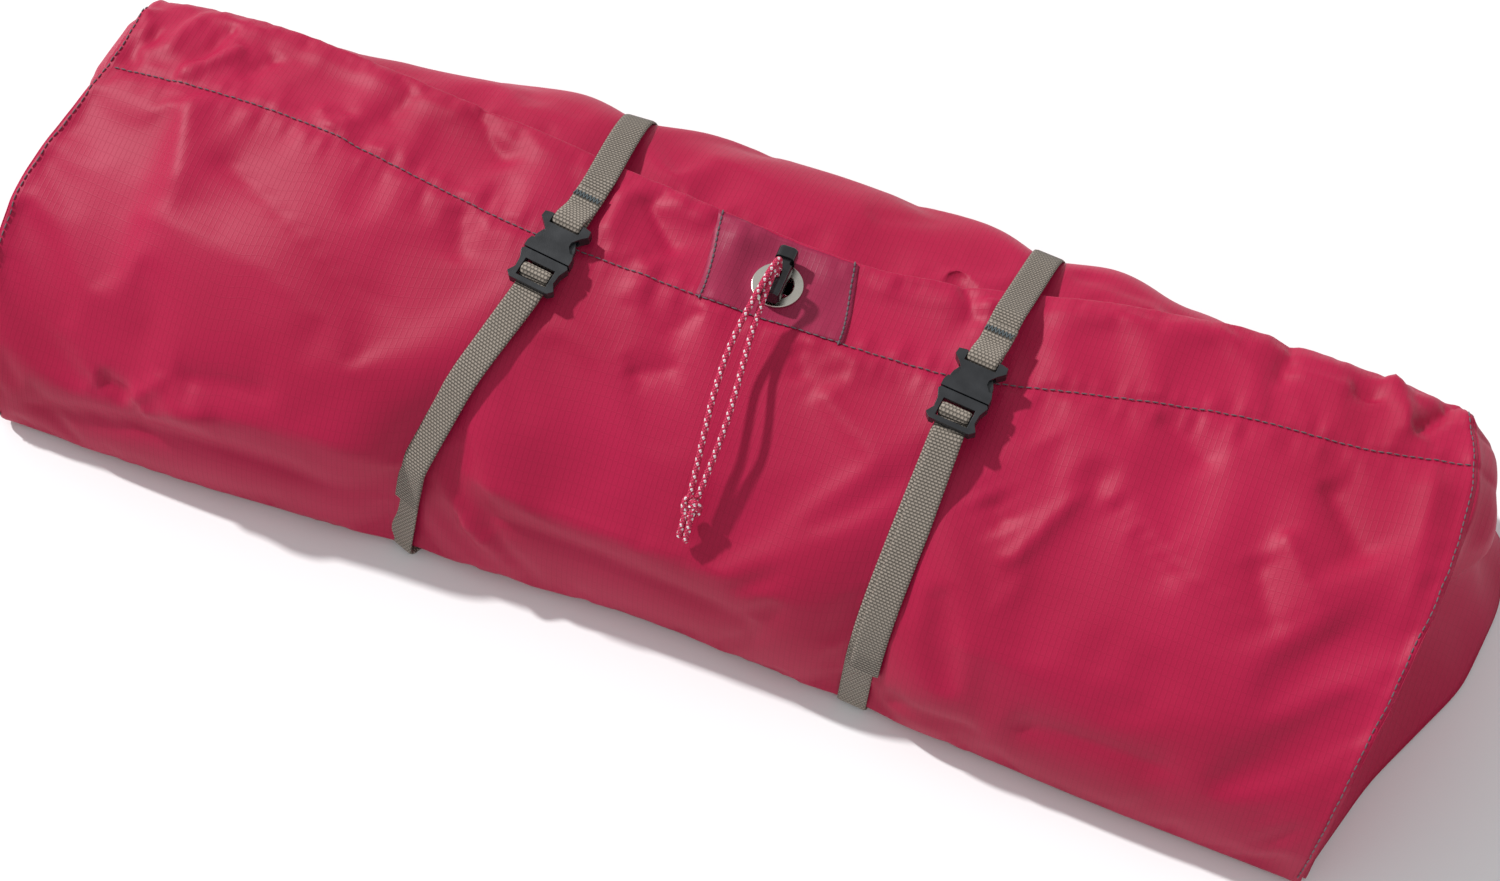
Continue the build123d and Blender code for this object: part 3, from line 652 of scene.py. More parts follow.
def slackened():
    # the joined mesh is welded first, because a seam point that lies on another stops the solver
    verts, faces = wholeShell()
    obj = meshObject("slackening", verts * mm * 10, faces)
    mesh = obj.data
    work = bmesh.new()
    work.from_mesh(mesh)
    bmesh.ops.remove_doubles(work, verts=work.verts, dist=0.004)
    work.to_mesh(mesh)
    work.free()
    tree = KDTree(len(mesh.vertices))
    for vertex in mesh.vertices:
        tree.insert(vertex.co, vertex.index)
    tree.balance()
    match = np.array([tree.find(p * mm * 10)[1] for p in verts])
    start = np.empty(len(mesh.vertices) * 3)
    mesh.vertices.foreach_get("co", start)
    seamWeight, hold = np.ones(len(mesh.vertices)), np.zeros(len(mesh.vertices))
    for index in range(rows * cols):
        j, i = divmod(index, cols)
        near = min(abs(j - hemRow), i, cols - 1 - i, abs(j - mouthRow))
        strap = max(math.exp(-0.5 * ((verts[index][0] - float(strapX(n, verts[index][1]))) / 8) ** 2)
                    for n in strapSettings)
        seamWeight[match[index]] = 1.0 if near == 0 else strap
        hold[match[index]] = 1.0 if j < 2 or j > rows - 3 else (0.6 if near == 0 else 0.5 * strap)
    hold[start[2::3] < 0.03] = 1.0
    seam, pin = obj.vertex_groups.new(name="seam"), obj.vertex_groups.new(name="pin")
    for index in range(len(mesh.vertices)):
        seam.add([index], float(seamWeight[index]), "REPLACE")
        pin.add([index], float(hold[index]), "REPLACE")
    solver = obj.modifiers.new("cloth", "CLOTH")
    s = solver.settings
    s.quality = 5
    s.mass = 0.3
    s.tension_stiffness = 15
    s.compression_stiffness = 15
    s.shear_stiffness = 5
    s.bending_stiffness = cloth["bending"]
    s.vertex_group_mass = "pin"
    s.vertex_group_shrink = "seam"
    s.shrink_min = cloth["loose"]
    s.shrink_max = 0.0
    s.use_pressure = True
    s.uniform_pressure_force = cloth["pressure"]
    s.effector_weights.gravity = 0.15
    solver.collision_settings.use_collision = False
    solver.point_cache.frame_start = 1
    solver.point_cache.frame_end = cloth["frames"]
    for frameNumber in range(1, cloth["frames"] + 1):
        scene.frame_set(frameNumber)
    evaluated = obj.evaluated_get(bpy.context.evaluated_depsgraph_get())
    moved = np.empty(len(mesh.vertices) * 3)
    evaluated.data.vertices.foreach_get("co", moved)
    shift = ((moved - start).reshape(-1, 3) / (mm * 10))[match]
    bpy.data.objects.remove(obj)
    size = np.linalg.norm(shift, axis=1, keepdims=True)
    cap = cloth["cap"]
    print("cloth moved", float(size.mean()), float(size.max()))
    return verts + shift * (cap * np.tanh(size / cap) / np.maximum(size, 1e-6))


relaxed = slackened()
form = relaxed[: rows * cols].reshape(rows, cols, 3)
form[:, :, 2] = np.maximum(form[:, :, 2], sack["low"])
print("cloth done")


def finer(grid, times):
    # the same sheet with times as many steps each way, along smooth curves
    def alongFirst(a):
        n = a.shape[0]
        padded = np.concatenate([2 * a[:1] - a[1:2], a, 2 * a[-1:] - a[-2:-1]])
        out = []
        for i in range(n - 1):
            p0, p1, p2, p3 = padded[i], padded[i + 1], padded[i + 2], padded[i + 3]
            for k in range(times):
                t = k / times
                out.append(0.5 * (2 * p1 + (p2 - p0) * t + (2 * p0 - 5 * p1 + 4 * p2 - p3) * t**2
                                  + (3 * p1 - p0 - 3 * p2 + p3) * t**3))
        out.append(a[-1])
        return np.array(out)
    return alongFirst(alongFirst(grid).transpose(1, 0, 2)).transpose(1, 0, 2)


fineTimes = 2
shell = finer(form, fineTimes)
hem, mouth = hemRow * fineTimes, mouthRow * fineTimes
fineRows, fineCols = shell.shape[:2]
v = fromHem(shell, hem)
x = shell[:, :, 0]
bandEnds = smoothStep(0, 16, x - shell[:, :1, 0]) * smoothStep(0, 16, shell[:, -1:, 0] - x)
toMouth = v - v[mouth]
draw = np.random.default_rng(11)
ripplePitches = (6.4, 8.7, 11.3, 15.1)
ripple = sum(np.sin(x * math.tau / p + q) for p, q in zip(ripplePitches, draw.uniform(0, 6.28, 4))) / 4
hemDetail = -0.9 * bump(v, 0, 1.7) + 0.55 * ripple * (bump(v, 5, 3.2) + bump(v, -5.5, 4.0))
mouthSwell = (0.9 * bump(toMouth, -8, 3.0) + 1.2 * bump(toMouth, 0, 9)) * bandEnds
hemDetail += mouthSwell + 0.5 * ripple * bump(toMouth, -3, 3)
seamDetail = 0.8 * (bump(x - shell[:, :1, 0], 2.0, 1.5) + bump(shell[:, -1:, 0] - x, 2.0, 1.5))
seamDetail = seamDetail * smoothStep(0, 12, v - v[0]) * smoothStep(0, 12, v[-1] - v)
shell = offset(shell, hemDetail + seamDetail)

grommet = {
    "at": (10.0, 30.0, 93.55), "way": (0.0, 0.035278, 0.999378), "flat": 11.5, "blend": 26.0, "hole": 7.0,
}
gx, gy, gz = grommet["at"]
planeZ = gz - (shell[:, :, 1] - gy) * grommet["way"][1] / grommet["way"][2]
fromGrommet = np.hypot(shell[:, :, 0] - gx, shell[:, :, 1] - gy)
flatShare = (1 - smoothStep(grommet["flat"], grommet["blend"], fromGrommet)) * (shell[:, :, 2] > 60)
shell[:, :, 2] += (planeZ - shell[:, :, 2]) * flatShare
shell[:, :, 2] = np.maximum(shell[:, :, 2], sack["low"])
normals = gridNormals(shell)
print("shell ready", shell.shape)

# Front, back, gussets and base, each cut and sewn as its own panel

lip = {"radius": 1.6, "turns": 7, "under": 18, "backUnder": 9, "backDrop": 6.2, "backBlend": 24.0}


def clothUv(grid):
    steps = np.linalg.norm(np.diff(grid, axis=0), axis=2)
    run = np.concatenate([np.zeros((1, grid.shape[1])), np.cumsum(steps, axis=0)])
    return np.dstack([grid[:, :, 0], run]).reshape(-1, 2) * mm


def clothPiece(name, grid, material=None, flip=False, cut=None):
    r, c = grid.shape[:2]
    faces = gridFaces(r, c, 0, flip)
    if cut is not None:
        flat = grid.reshape(-1, 3)
        kept = []
        for face in faces:
            centre = flat[list(face)].mean(axis=0)
            if math.hypot(centre[0] - cut[0], centre[1] - cut[1]) > cut[2] or centre[2] < 60:
                kept.append(face)
        faces = kept
    obj = meshObject(name, grid.reshape(-1, 3) * mm, faces, clothUv(grid))
    obj.data.materials.append(material or nylon)
    wall = obj.modifiers.new("wall", "SOLIDIFY")
    wall.thickness = 0.0003
    wall.offset = -1
    return obj


def lipRows(grid, away, row):
    # the cloth turns over a small radius at its edge and runs back underneath
    radius, count = lip["radius"], lip["under"]
    toEdge = grid[row] - grid[row - 1]
    toEdge /= np.linalg.norm(toEdge, axis=1, keepdims=True)
    n = away[row]
    turned = []
    for k in range(1, lip["turns"] + 1):
        a = math.pi * k / lip["turns"]
        turned.append(grid[row] + radius * math.sin(a) * toEdge - radius * (1 - math.cos(a)) * n)
    for k in range(1, count + 1):
        close = 1 - 0.55 * (k / count) ** 2
        turned.append(grid[row - k] - 2 * radius * close * away[row - k])
    return np.array(turned)


hole = (gx, gy, grommet["hole"])
frontGrid = np.concatenate([shell[: mouth + 1], lipRows(shell, normals, mouth)])
frontPanel = clothPiece("frontPanel", frontGrid, cut=hole)
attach(frontPanel, "sack")
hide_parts("front_panel", "front_hem")

under = np.array([shell[mouth - k] for k in range(lip["backUnder"], 0, -1)])
underNormals = np.array([normals[mouth - k] for k in range(lip["backUnder"], 0, -1)])
backGrid = np.concatenate([under, shell[mouth:]])
backNormals = np.concatenate([underNormals, normals[mouth:]])
backV = np.concatenate([np.zeros((lip["backUnder"], fineCols)), toMouth[mouth:]])
nearSeam = smoothStep(0, 20, backGrid[:, :, 0] - backGrid[:, :1, 0])
nearSeam = nearSeam * smoothStep(0, 20, backGrid[:, -1:, 0] - backGrid[:, :, 0])
drop = lip["backDrop"] * np.exp(-((backV / lip["backBlend"]) ** 2)) * (0.25 + 0.75 * nearSeam)
backGrid = backGrid - backNormals * drop[:, :, None]
backPanel = clothPiece("backPanel", backGrid)
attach(backPanel, "sack")
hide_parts("back_panel", "back_hem")


def closedEnd(side):
    edge = shell[:, -1] if side > 0 else shell[:, 0]
    curtain = endCurtain(edge, side)
    away = np.zeros_like(curtain)
    away[:, :, 0] = side
    wrinkle = wander(curtain[:, :, 1], curtain[:, :, 2], 7 + side, 34, 1.1)
    t = np.linspace(0, 1, gusset["steps"])
    curtain = curtain + away * (wrinkle * np.sin(math.pi * t)[None, :])[:, :, None]
    return curtain


for side, name, node in ((1, "rightGusset", "right_end_panel"), (-1, "leftGusset", "left_end_panel")):
    curtain = closedEnd(side)
    piece = clothPiece(name, finer(curtain, 2), flip=side < 0)
    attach(piece, "sack")
    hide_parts(node)

endLeft, endRight = closedEnd(-1)[:, -1], closedEnd(1)[:, -1]
baseSteps = 40
baseGrid = np.zeros((baseSteps + 1, fineCols + 2, 3))
for k in range(baseSteps + 1):
    t = k / baseSteps
    line0 = shell[0] * (1 - t) + shell[-1] * t
    yAt = line0[:, 1]
    leftX = np.interp(yAt[0], endLeft[:, 1], endLeft[:, 0])
    rightX = np.interp(yAt[-1], endRight[:, 1], endRight[:, 0])
    baseGrid[k, 1:-1] = line0
    baseGrid[k, 0] = (leftX, yAt[0], sack["low"])
    baseGrid[k, -1] = (rightX, yAt[-1], sack["low"])
basePanel = clothPiece("basePanel", baseGrid, flip=True)
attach(basePanel, "sack")
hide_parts("base_panel")

patch = {"left": -21.5, "right": 41.5, "lift": 0.45}
columnX = shell[(hem + mouth) // 2, :, 0]
patchCols = [i for i in range(fineCols) if patch["left"] <= columnX[i] <= patch["right"]]
patchGrid = shell[hem : mouth + 1, patchCols[0] : patchCols[-1] + 1]
patchNormals = normals[hem : mouth + 1, patchCols[0] : patchCols[-1] + 1]
patchGrid = patchGrid + patchNormals * patch["lift"]
patchPiece = clothPiece("grommetPatch", patchGrid, material=patchNylon, cut=hole)
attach(patchPiece, "sack")
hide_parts("grommet_patch")

print("panels made")

# Webbing straps

strapShape = {
    "width": 12.5, "thick": 1.2, "gap": 0.7, "baseRun": 60.0, "rib": 0.10, "ribPitch": 1.25,
    "hubY": 45.0, "hubZ": 42.0, "pathStep": 0.4, "ribStep": 0.42,
}
surface = BVHTree.FromPolygons([Vector(p) for p in shell.reshape(-1, 3)], gridFaces(fineRows, fineCols))


def strapAxes(name):
    joint = next(j for j in frame["joints"] if j["name"] == f"{name}_buckle_release")
    up = -np.array(joint["axis"])
    out = np.cross(np.array([1.0, 0, 0]), up)
    out /= np.linalg.norm(out)
    right = np.cross(up, out)
    low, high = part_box(f"{name}_bartack")
    tack = np.array([(a + b) / 2 for a, b in zip(low, high)]) / mm
    inner = np.array([(a + b) / 2 for a, b in zip(*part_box(f"{name}_inner_arm"))]) / mm
    outer = np.array([(a + b) / 2 for a, b in zip(*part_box(f"{name}_outer_arm"))]) / mm
    across = (inner + outer) / 2
    origin = tack - up * webLayer["tackY"]
    origin = origin + out * np.dot(across - origin, out)
    return origin, right, up, out


def outlineRadius(centre, way, angles):
    found = []
    for a in angles:
        ray = way * math.cos(a) + np.array([0, 0, 1.0]) * math.sin(a)
        hit = surface.ray_cast(Vector(centre), Vector(ray))
        if hit[0] is None:
            reach = (centre[2] - sack["low"]) / max(-ray[2], 1e-3)
            found.append(reach)
        else:
            found.append((Vector(centre) - hit[0]).length)
    return np.array(found)


def upperHull(points):
    # the line a taut strap takes over the points, which run outwards and round
    kept = []
    for p in points:
        while len(kept) > 1:
            a, b = kept[-2], kept[-1]
            if (b[0] - a[0]) * (p[1] - a[1]) - (b[1] - a[1]) * (p[0] - a[0]) >= 0:
                kept.pop()
            else:
                break
        kept.append(p)
    return np.array(kept)


def strapRoute(start, lean, away):
    # from the start over the sack's edge and under its base, as points in the frame
    heading = np.array([math.sin(math.radians(lean)), math.cos(math.radians(lean)), 0.0]) * away
    hubY, hubZ = strapShape["hubY"], strapShape["hubZ"]
    centre = np.array([start[0], start[1], 0]) + heading * hubY
    centre[2] = hubZ
    angles = np.radians(np.linspace(118, -88, 240))
    reach = outlineRadius(centre, heading, angles) + strapShape["gap"] + strapShape["thick"] / 2
    outline = [(hubY + r * math.cos(a), hubZ + r * math.sin(a)) for a, r in zip(angles, reach)]
    floorZ = strapShape["thick"] / 2 + 0.05
    outline = [(s, max(z, floorZ)) for s, z in outline if s > 6.0]
    hull = upperHull([(0.0, start[2])] + outline)
    down = hull[:, 1] <= floorZ + 0.6
    lowest = np.argmax(down) if down.any() else len(hull) - 1
    hull = hull[: lowest + 1]
    end = (hull[-1][0] - strapShape["baseRun"], floorZ)
    hull = np.vstack([hull, [(hull[-1][0] - 2.0, floorZ)], [end]])
    return np.array([(start[0] + heading[0] * s, start[1] + heading[1] * s, z) for s, z in hull])


def band(name, path, sides, width, thick):
    # a closed band of webbing along a path, with its cross ribs in the mesh
    total = runLength(path)[-1]
    count = int(total / strapShape["ribStep"])
    at = np.linspace(0, total, count + 1)
    line0 = resampled(path, at)
    side = np.column_stack([np.interp(at, runLength(path), sides[:, k]) for k in range(3)])
    tangent = np.gradient(line0, axis=0)
    tangent /= np.linalg.norm(tangent, axis=1, keepdims=True)
    side = side - tangent * np.sum(side * tangent, axis=1, keepdims=True)
    side /= np.linalg.norm(side, axis=1, keepdims=True)
    out = np.cross(side, tangent)
    acrossCount = 10
    ring = [(k / acrossCount - 0.5, 1) for k in range(acrossCount + 1)]
    ring += [(0.5 - k / acrossCount, -1) for k in range(acrossCount + 1)]
    rib = strapShape["rib"] * np.sin(at * math.tau / strapShape["ribPitch"])
    verts, uvs = [], []
    for k, (share, face) in enumerate(ring):
        edge = 1 - 0.45 * smoothStep(0.40, 0.5, abs(share))
        wide = share * (width + 0.25 * math.sin(k))
        height = face * (thick / 2 * edge + rib * edge)
        verts.append(line0 + side * wide + out * height[:, None])
        uvs.append(np.column_stack([np.full(len(at), (share + 0.5) * width), at]) * mm)
    grid = np.array(verts).transpose(1, 0, 2)
    uvGrid = np.array(uvs).transpose(1, 0, 2)
    n = len(ring)
    faces = gridFaces(len(at), n, 0, True, closed=True)
    faces.append(tuple(range(n)))
    faces.append(tuple(range((len(at) - 1) * n, len(at) * n))[::-1])
    obj = meshObject(name, grid.reshape(-1, 3) * mm, faces, uvGrid.reshape(-1, 2))
    obj.data.materials.append(webbing)
    return obj


def inFrame(axes, points):
    origin, right, up, out = axes
    return np.array([origin + up * y + out * z + right * s for y, z, s in points])


webLayer = {
    "z": -2.55, "bar": 14.55, "tackY": 29.5, "foldEnd": 33.0, "loopY": -10.4, "loopZ": -0.15, "loopR": 2.45,
}


def roundPath(points, width=1.1):
    step = strapShape["pathStep"]
    even = resampled(points, np.arange(0, runLength(points)[-1], step))
    return smoothed(even, width, step)


def makeStrap(name):
    s = strapSettings[name]
    axes = strapAxes(name)
    right = axes[1]
    z, thick = webLayer["z"], strapShape["thick"]

    # upper webbing: its sewn end on top, round the socket's bar, back under itself and over the sack's back
    top = z + thick + 0.12
    bar = webLayer["bar"]
    folded = [(webLayer["foldEnd"], top, 0.5), (24.0, top + 0.1, 0.4), (bar + 2.4, 2.5, 0)]
    folded += [(bar - 2.55 * math.sin(a), 2.55 * math.cos(a), 0) for a in np.linspace(0, math.pi, 9)]
    folded += [(bar + 2, z, 0), (40.0, z, 0)]
    head = inFrame(axes, folded)
    startUp = head[-1]
    route = strapRoute(startUp, s["upper"], 1)
    path = np.vstack([head, route[1:]])
    turnAt = len(head)
    flatSide = np.array([math.cos(math.radians(s["upper"])), -math.sin(math.radians(s["upper"])), 0])
    dense = roundPath(path)
    run = np.arange(len(dense)) * strapShape["pathStep"]
    share = smoothStep(0, 30, np.maximum(0, run - runLength(path)[turnAt]))
    sides = right[None, :] * (1 - share[:, None]) + flatSide[None, :] * share[:, None]
    upper = band(f"{name}UpperWebbing", dense, sides, strapShape["width"], thick)
    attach(upper, "sack")
    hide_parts(f"{name}_upper_webbing")

    # lower webbing: from under the base, over the front, round the plug's bar, and back down as the tail
    plugEnd = -17.0
    start = inFrame(axes, [(plugEnd - 3.0, z, 0)])[0]
    route = strapRoute(start, s["lower"], -1)
    loopY, loopZ, loopR = webLayer["loopY"], webLayer["loopZ"], webLayer["loopR"]
    lead = [(plugEnd, z, 0), (loopY + loopR - 1.0, z, 0), (loopY + loopR, z + 1.2, 0)]
    turning = np.linspace(0.15, math.pi, 9)
    lead += [(loopY + loopR * math.cos(a), loopZ + loopR * math.sin(a), 0) for a in turning]
    shift = s["tailShift"]
    tailZ = z + thick + 0.15
    lead += [(loopY - loopR, tailZ + 0.9, 0.1), (loopY - loopR - 1.0, tailZ, 0.2)]
    lead += [(plugEnd - 3.0, tailZ, shift * 0.4)]
    path = np.vstack([route[::-1], inFrame(axes, lead)])
    flatSide = np.array([math.cos(math.radians(s["lower"])), -math.sin(math.radians(s["lower"])), 0])
    back = route[1:]
    run = runLength(route)
    keep = run[1:] < run[-1] - strapShape["baseRun"] - 26.0
    tangent = np.gradient(route, axis=0)[1:]
    tangent /= np.linalg.norm(tangent, axis=1, keepdims=True)
    outward = np.cross(tangent, flatSide)
    outward *= np.sign(outward[:1, 2:3])
    settle = np.minimum(1.0, run[1:] / 30.0)[:, None]
    tail = back + outward * (thick + 0.15) + flatSide * shift * (0.5 + 0.5 * settle)
    tail = tail[keep]
    path = np.vstack([path, tail])
    dense = roundPath(path, 0.9)
    run = np.arange(len(dense)) * strapShape["pathStep"]
    total = runLength(path)
    enter, leave = total[len(route) - 1], total[len(route) + len(lead) - 1]
    share = smoothStep(enter - 30, enter, run) * smoothStep(leave + 30, leave, run)
    sides = flatSide[None, :] * (1 - share[:, None]) + right[None, :] * share[:, None]
    lower = band(f"{name}LowerWebbing", dense, sides, strapShape["width"], thick)
    plugPoint = inFrame(axes, [(plugEnd - 2.0, z, 0)])[0]
    farPoint = inFrame(axes, [(plugEnd - 34.0, z, 0)])[0]
    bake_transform(lower)
    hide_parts(f"{name}_lower_webbing", f"{name}_webbing_tail", f"{name}_webbing_loop")
    return axes


strapFrames = {name: makeStrap(name) for name in strapSettings}
print("straps made")

# Tubes and cords


def tubeMesh(name, points, radius, material, sides=12, taper=None):
    tangent = np.gradient(points, axis=0)
    tangent /= np.linalg.norm(tangent, axis=1, keepdims=True)
    side = np.cross(tangent[0], [0.3, 0.2, 1.0])
    side /= np.linalg.norm(side)
    run = runLength(points)
    rings, uvs = [], []
    for k, (p, t) in enumerate(zip(points, tangent)):
        side = side - t * np.dot(side, t)
        side /= np.linalg.norm(side)
        other = np.cross(t, side)
        size = radius * (taper[k] if taper is not None else 1.0)
        for m in range(sides + 1):
            a = math.tau * (m % sides) / sides
            rings.append(p + (side * math.cos(a) + other * math.sin(a)) * size)
            uvs.append((m / sides, run[k] * mm))
    n = sides + 1
    faces = gridFaces(len(points), n)
    faces.append(tuple(range(sides))[::-1])
    faces.append(tuple((len(points) - 1) * n + m for m in range(sides)))
    obj = meshObject(name, np.array(rings) * mm, faces, uvs)
    obj.data.materials.append(material)
    weld = obj.modifiers.new("weld", "WELD")
    weld.merge_threshold = 0.000002
    return obj


def routeLine(points, step=0.6):
    # the points are a NURBS spline's control points; its line comes back evenly divided
    curve = bpy.data.curves.new("route", "CURVE")
    curve.dimensions = "3D"
    spline = curve.splines.new("NURBS")
    spline.points.add(len(points) - 1)
    for slot, p in zip(spline.points, points):
        slot.co = (*(c * mm for c in p), 1)
    spline.order_u = 3
    spline.use_endpoint_u = True
    spline.resolution_u = 24
    obj = bpy.data.objects.new("route", curve)
    scene.collection.objects.link(obj)
    mesh = bpy.data.meshes.new_from_object(obj.evaluated_get(bpy.context.evaluated_depsgraph_get()))
    found = np.array([v.co for v in mesh.vertices]) / mm
    bpy.data.objects.remove(obj)
    bpy.data.meshes.remove(mesh)
    return resampled(found, np.arange(0, runLength(found)[-1] + 1e-6, step))


cord = {"diameter": 2.5}
strandRoutes = {
    "left": [(10.0, 31.5, 95.3), (10.0, 31.6, 99.0), (10.0, 31.8, 104.4), (10.0, 32.2, 116.2),
             (4.0, -4.0, 105.3), (5.4, -28.0, 101.0), (7.6, -46.0, 92.5), (8.9, -62.4, 78.9)],
    "right": [(10.0, 28.7, 95.4), (10.0, 28.8, 99.0), (10.0, 29.0, 104.5), (10.0, 29.3, 113.5),
              (9.8, 2.0, 104.2), (13.4, -24.0, 101.9), (14.4, -42.0, 94.5), (11.9, -62.4, 78.9)],
}
knotAt = np.array([10.4, -66.0, 76.5])
knotWay = np.array([0.0, -0.664, -0.748])


def knotMesh():
    # both cords go once round each other in an overhand knot
    sideways = np.array([1.0, 0.0, 0.0])
    outwards = np.cross(sideways, knotWay)
    parts = []
    for k in range(2):
        t = np.linspace(0, math.tau, 90) + k * 0.55
        radius = 2.15 + 0.95 * np.cos(3 * t)
        a, b = radius * np.cos(2 * t), radius * np.sin(2 * t)
        c = 1.15 * np.sin(3 * t)
        shift = (k - 0.5) * 1.6
        line0 = knotAt + np.outer(a, sideways) * 1.15 + np.outer(b * 1.1 + shift, knotWay)
        line0 = line0 + np.outer(c + 0.4, outwards)
        parts.append(tubeMesh(f"knotTurn{k}", line0, 1.15, cordBraid, 10))
    for k, dx in enumerate((-1, 1)):
        end = np.array([10.4 + dx * 1.35, -75.4 - k * 0.8, 66.4 - k * 0.8])
        tail = routeLine([knotAt + [dx * 0.9, 0, 0], (knotAt + end) / 2 + [dx * 0.9, -0.4, 0.8], end], 0.4)
        taper = np.ones(len(tail))
        taper[-1], taper[-2], taper[-3] = 0.45, 0.82, 1.04
        parts.append(tubeMesh(f"knotTail{k}", tail, 1.25, cordBraid, 12, taper))
    return parts


knotParts = knotMesh()
for part in knotParts:
    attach(part, "sack")
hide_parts("cord_knot")

for name, route in strandRoutes.items():
    path = routeLine(route)
    strand = tubeMesh(f"{name}Strand", path, cord["diameter"] / 2, cordBraid, 14)
    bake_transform(strand)
    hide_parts(f"cord_strand_{name}")
    knotParts if name == "left" else []

neckRoutes = {
    "left": [(-6.7, 31.3, 89.5), (2.0, 31.3, 89.4), (9.5, 31.3, 89.6), (10.0, 31.4, 92.0),
             (10.0, 31.5, 95.5)],
    "right": [(26.7, 28.5, 89.6), (18.0, 28.5, 89.5), (10.5, 28.5, 89.7), (10.0, 28.6, 92.0),
              (10.0, 28.7, 95.6)],
}
for name, route in neckRoutes.items():
    neck = tubeMesh(f"{name}Neck", routeLine(route, 0.4), cord["diameter"] / 2, cordBraid, 12)
    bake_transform(neck)
    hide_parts(f"cord_neck_{name}")

# the loop of cord inside the hem, both ways from the grommet
inRow = [int(np.argmin(np.abs(toMouth[:mouth, i] + 8.0))) for i in range(fineCols)]
frontLine = np.array([shell[inRow[i], i] - normals[inRow[i], i] * 2.3 for i in range(fineCols)])
backRow = [mouth + int(np.argmin(np.abs(toMouth[mouth:, i] - 9.0))) for i in range(fineCols)]
backLine = np.array([shell[backRow[i], i] - normals[backRow[i], i] * 9.2 for i in range(fineCols)])
frontX = frontLine[:, 0]
leftRun = frontLine[(frontX > -252) & (frontX < -24)][::-3]
rightRun = frontLine[(frontX > 44) & (frontX < 200)][::-3]
backRun = backLine[(backLine[:, 0] > -246) & (backLine[:, 0] < 194)][::4]
loopRoute = [(-6.7, 31.3, 89.5), (-14.0, 33.5, 89.4), *leftRun, *backRun, *rightRun]
loopRoute += [(34.0, 30.5, 89.6), (26.7, 28.5, 89.6)]
loopCord = tubeMesh("hemCord", routeLine(loopRoute, 1.5), cord["diameter"] / 2 - 0.1, cordBraid, 8)
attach(loopCord, "sack")
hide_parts("channel_cord")
print("cords made")

# The buckles keep their own shapes, with their moulded edges rounded


def rounded(node, name, material, width):
    source = frame["nodes"][node]
    mesh = source.data.copy()
    mesh.materials.clear()
    obj = bpy.data.objects.new(name, mesh)
    scene.collection.objects.link(obj)
    work = bmesh.new()
    work.from_mesh(mesh)
    bmesh.ops.remove_doubles(work, verts=work.verts, dist=0.000004)
    bmesh.ops.dissolve_limit(work, angle_limit=math.radians(1.5), verts=work.verts, edges=work.edges)
    for edge in work.edges:
        edge.smooth = True
    for face in work.faces:
        face.smooth = True
    work.to_mesh(mesh)
    work.free()
    if mesh.has_custom_normals:
        bpy.context.view_layer.objects.active = obj
        obj.select_set(True)
        bpy.ops.mesh.customdata_custom_splitnormals_clear()
        obj.select_set(False)
    mesh.materials.append(material)
    soft = obj.modifiers.new("soft", "BEVEL")
    soft.width = width * mm
    soft.segments = 3
    soft.limit_method = "ANGLE"
    soft.angle_limit = math.radians(28)
    soft.harden_normals = True
    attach(obj, source["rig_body"])
    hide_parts(node)
    return obj


# the lock's spring is copied in spring steel; its two ends along the press are found, and its shape is left
# as it was
press = next(j for j in frame["joints"] if j["name"] == "lock_press")
along = Vector(press["axis"]).normalized()
coil = frame["nodes"]["lock_spring"]
spring = bpy.data.objects.new("lockSpring", coil.data.copy())
scene.collection.objects.link(spring)
spring.data.materials.clear()
spring.data.materials.append(springSteel)
places = [coil.matrix_world @ p.co for p in spring.data.vertices]
spring.data.transform(coil.matrix_world)
reach = [p.dot(along) for p in places]
middle = sum(places, Vector()) / len(places)
towards = [middle + along * (r - middle.dot(along)) for r in (min(reach), max(reach))]
headSide = sum((Vector(p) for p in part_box("lock_plunger")), Vector()) / 2
if headSide.dot(along) < middle.dot(along):
    towards.reverse()
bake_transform(spring)
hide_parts("lock_spring")

for name in strapSettings:
    socket = rounded(f"{name}_buckle_socket", f"{name}BuckleSocket", bucklePlastic, 0.55)
    plug = rounded(f"{name}_buckle_plug", f"{name}BucklePlug", bucklePlastic, 0.45)
    for which in ("inner", "outer"):
        arm = rounded(f"{name}_{which}_arm", f"{name}{which.capitalize()}Arm", bucklePlastic, 0.3)

for node, material in (("lock_barrel", lockPlastic), ("lock_plunger", lockPlastic),
                       ("grommet_eyelet", nickel), ("grommet_washer", nickel)):
    mesh = frame["nodes"][node].data
    for index in range(len(mesh.materials)):
        mesh.materials[index] = material
    if not len(mesh.materials):
        mesh.materials.append(material)

# Stitches follow their lines through one node tree


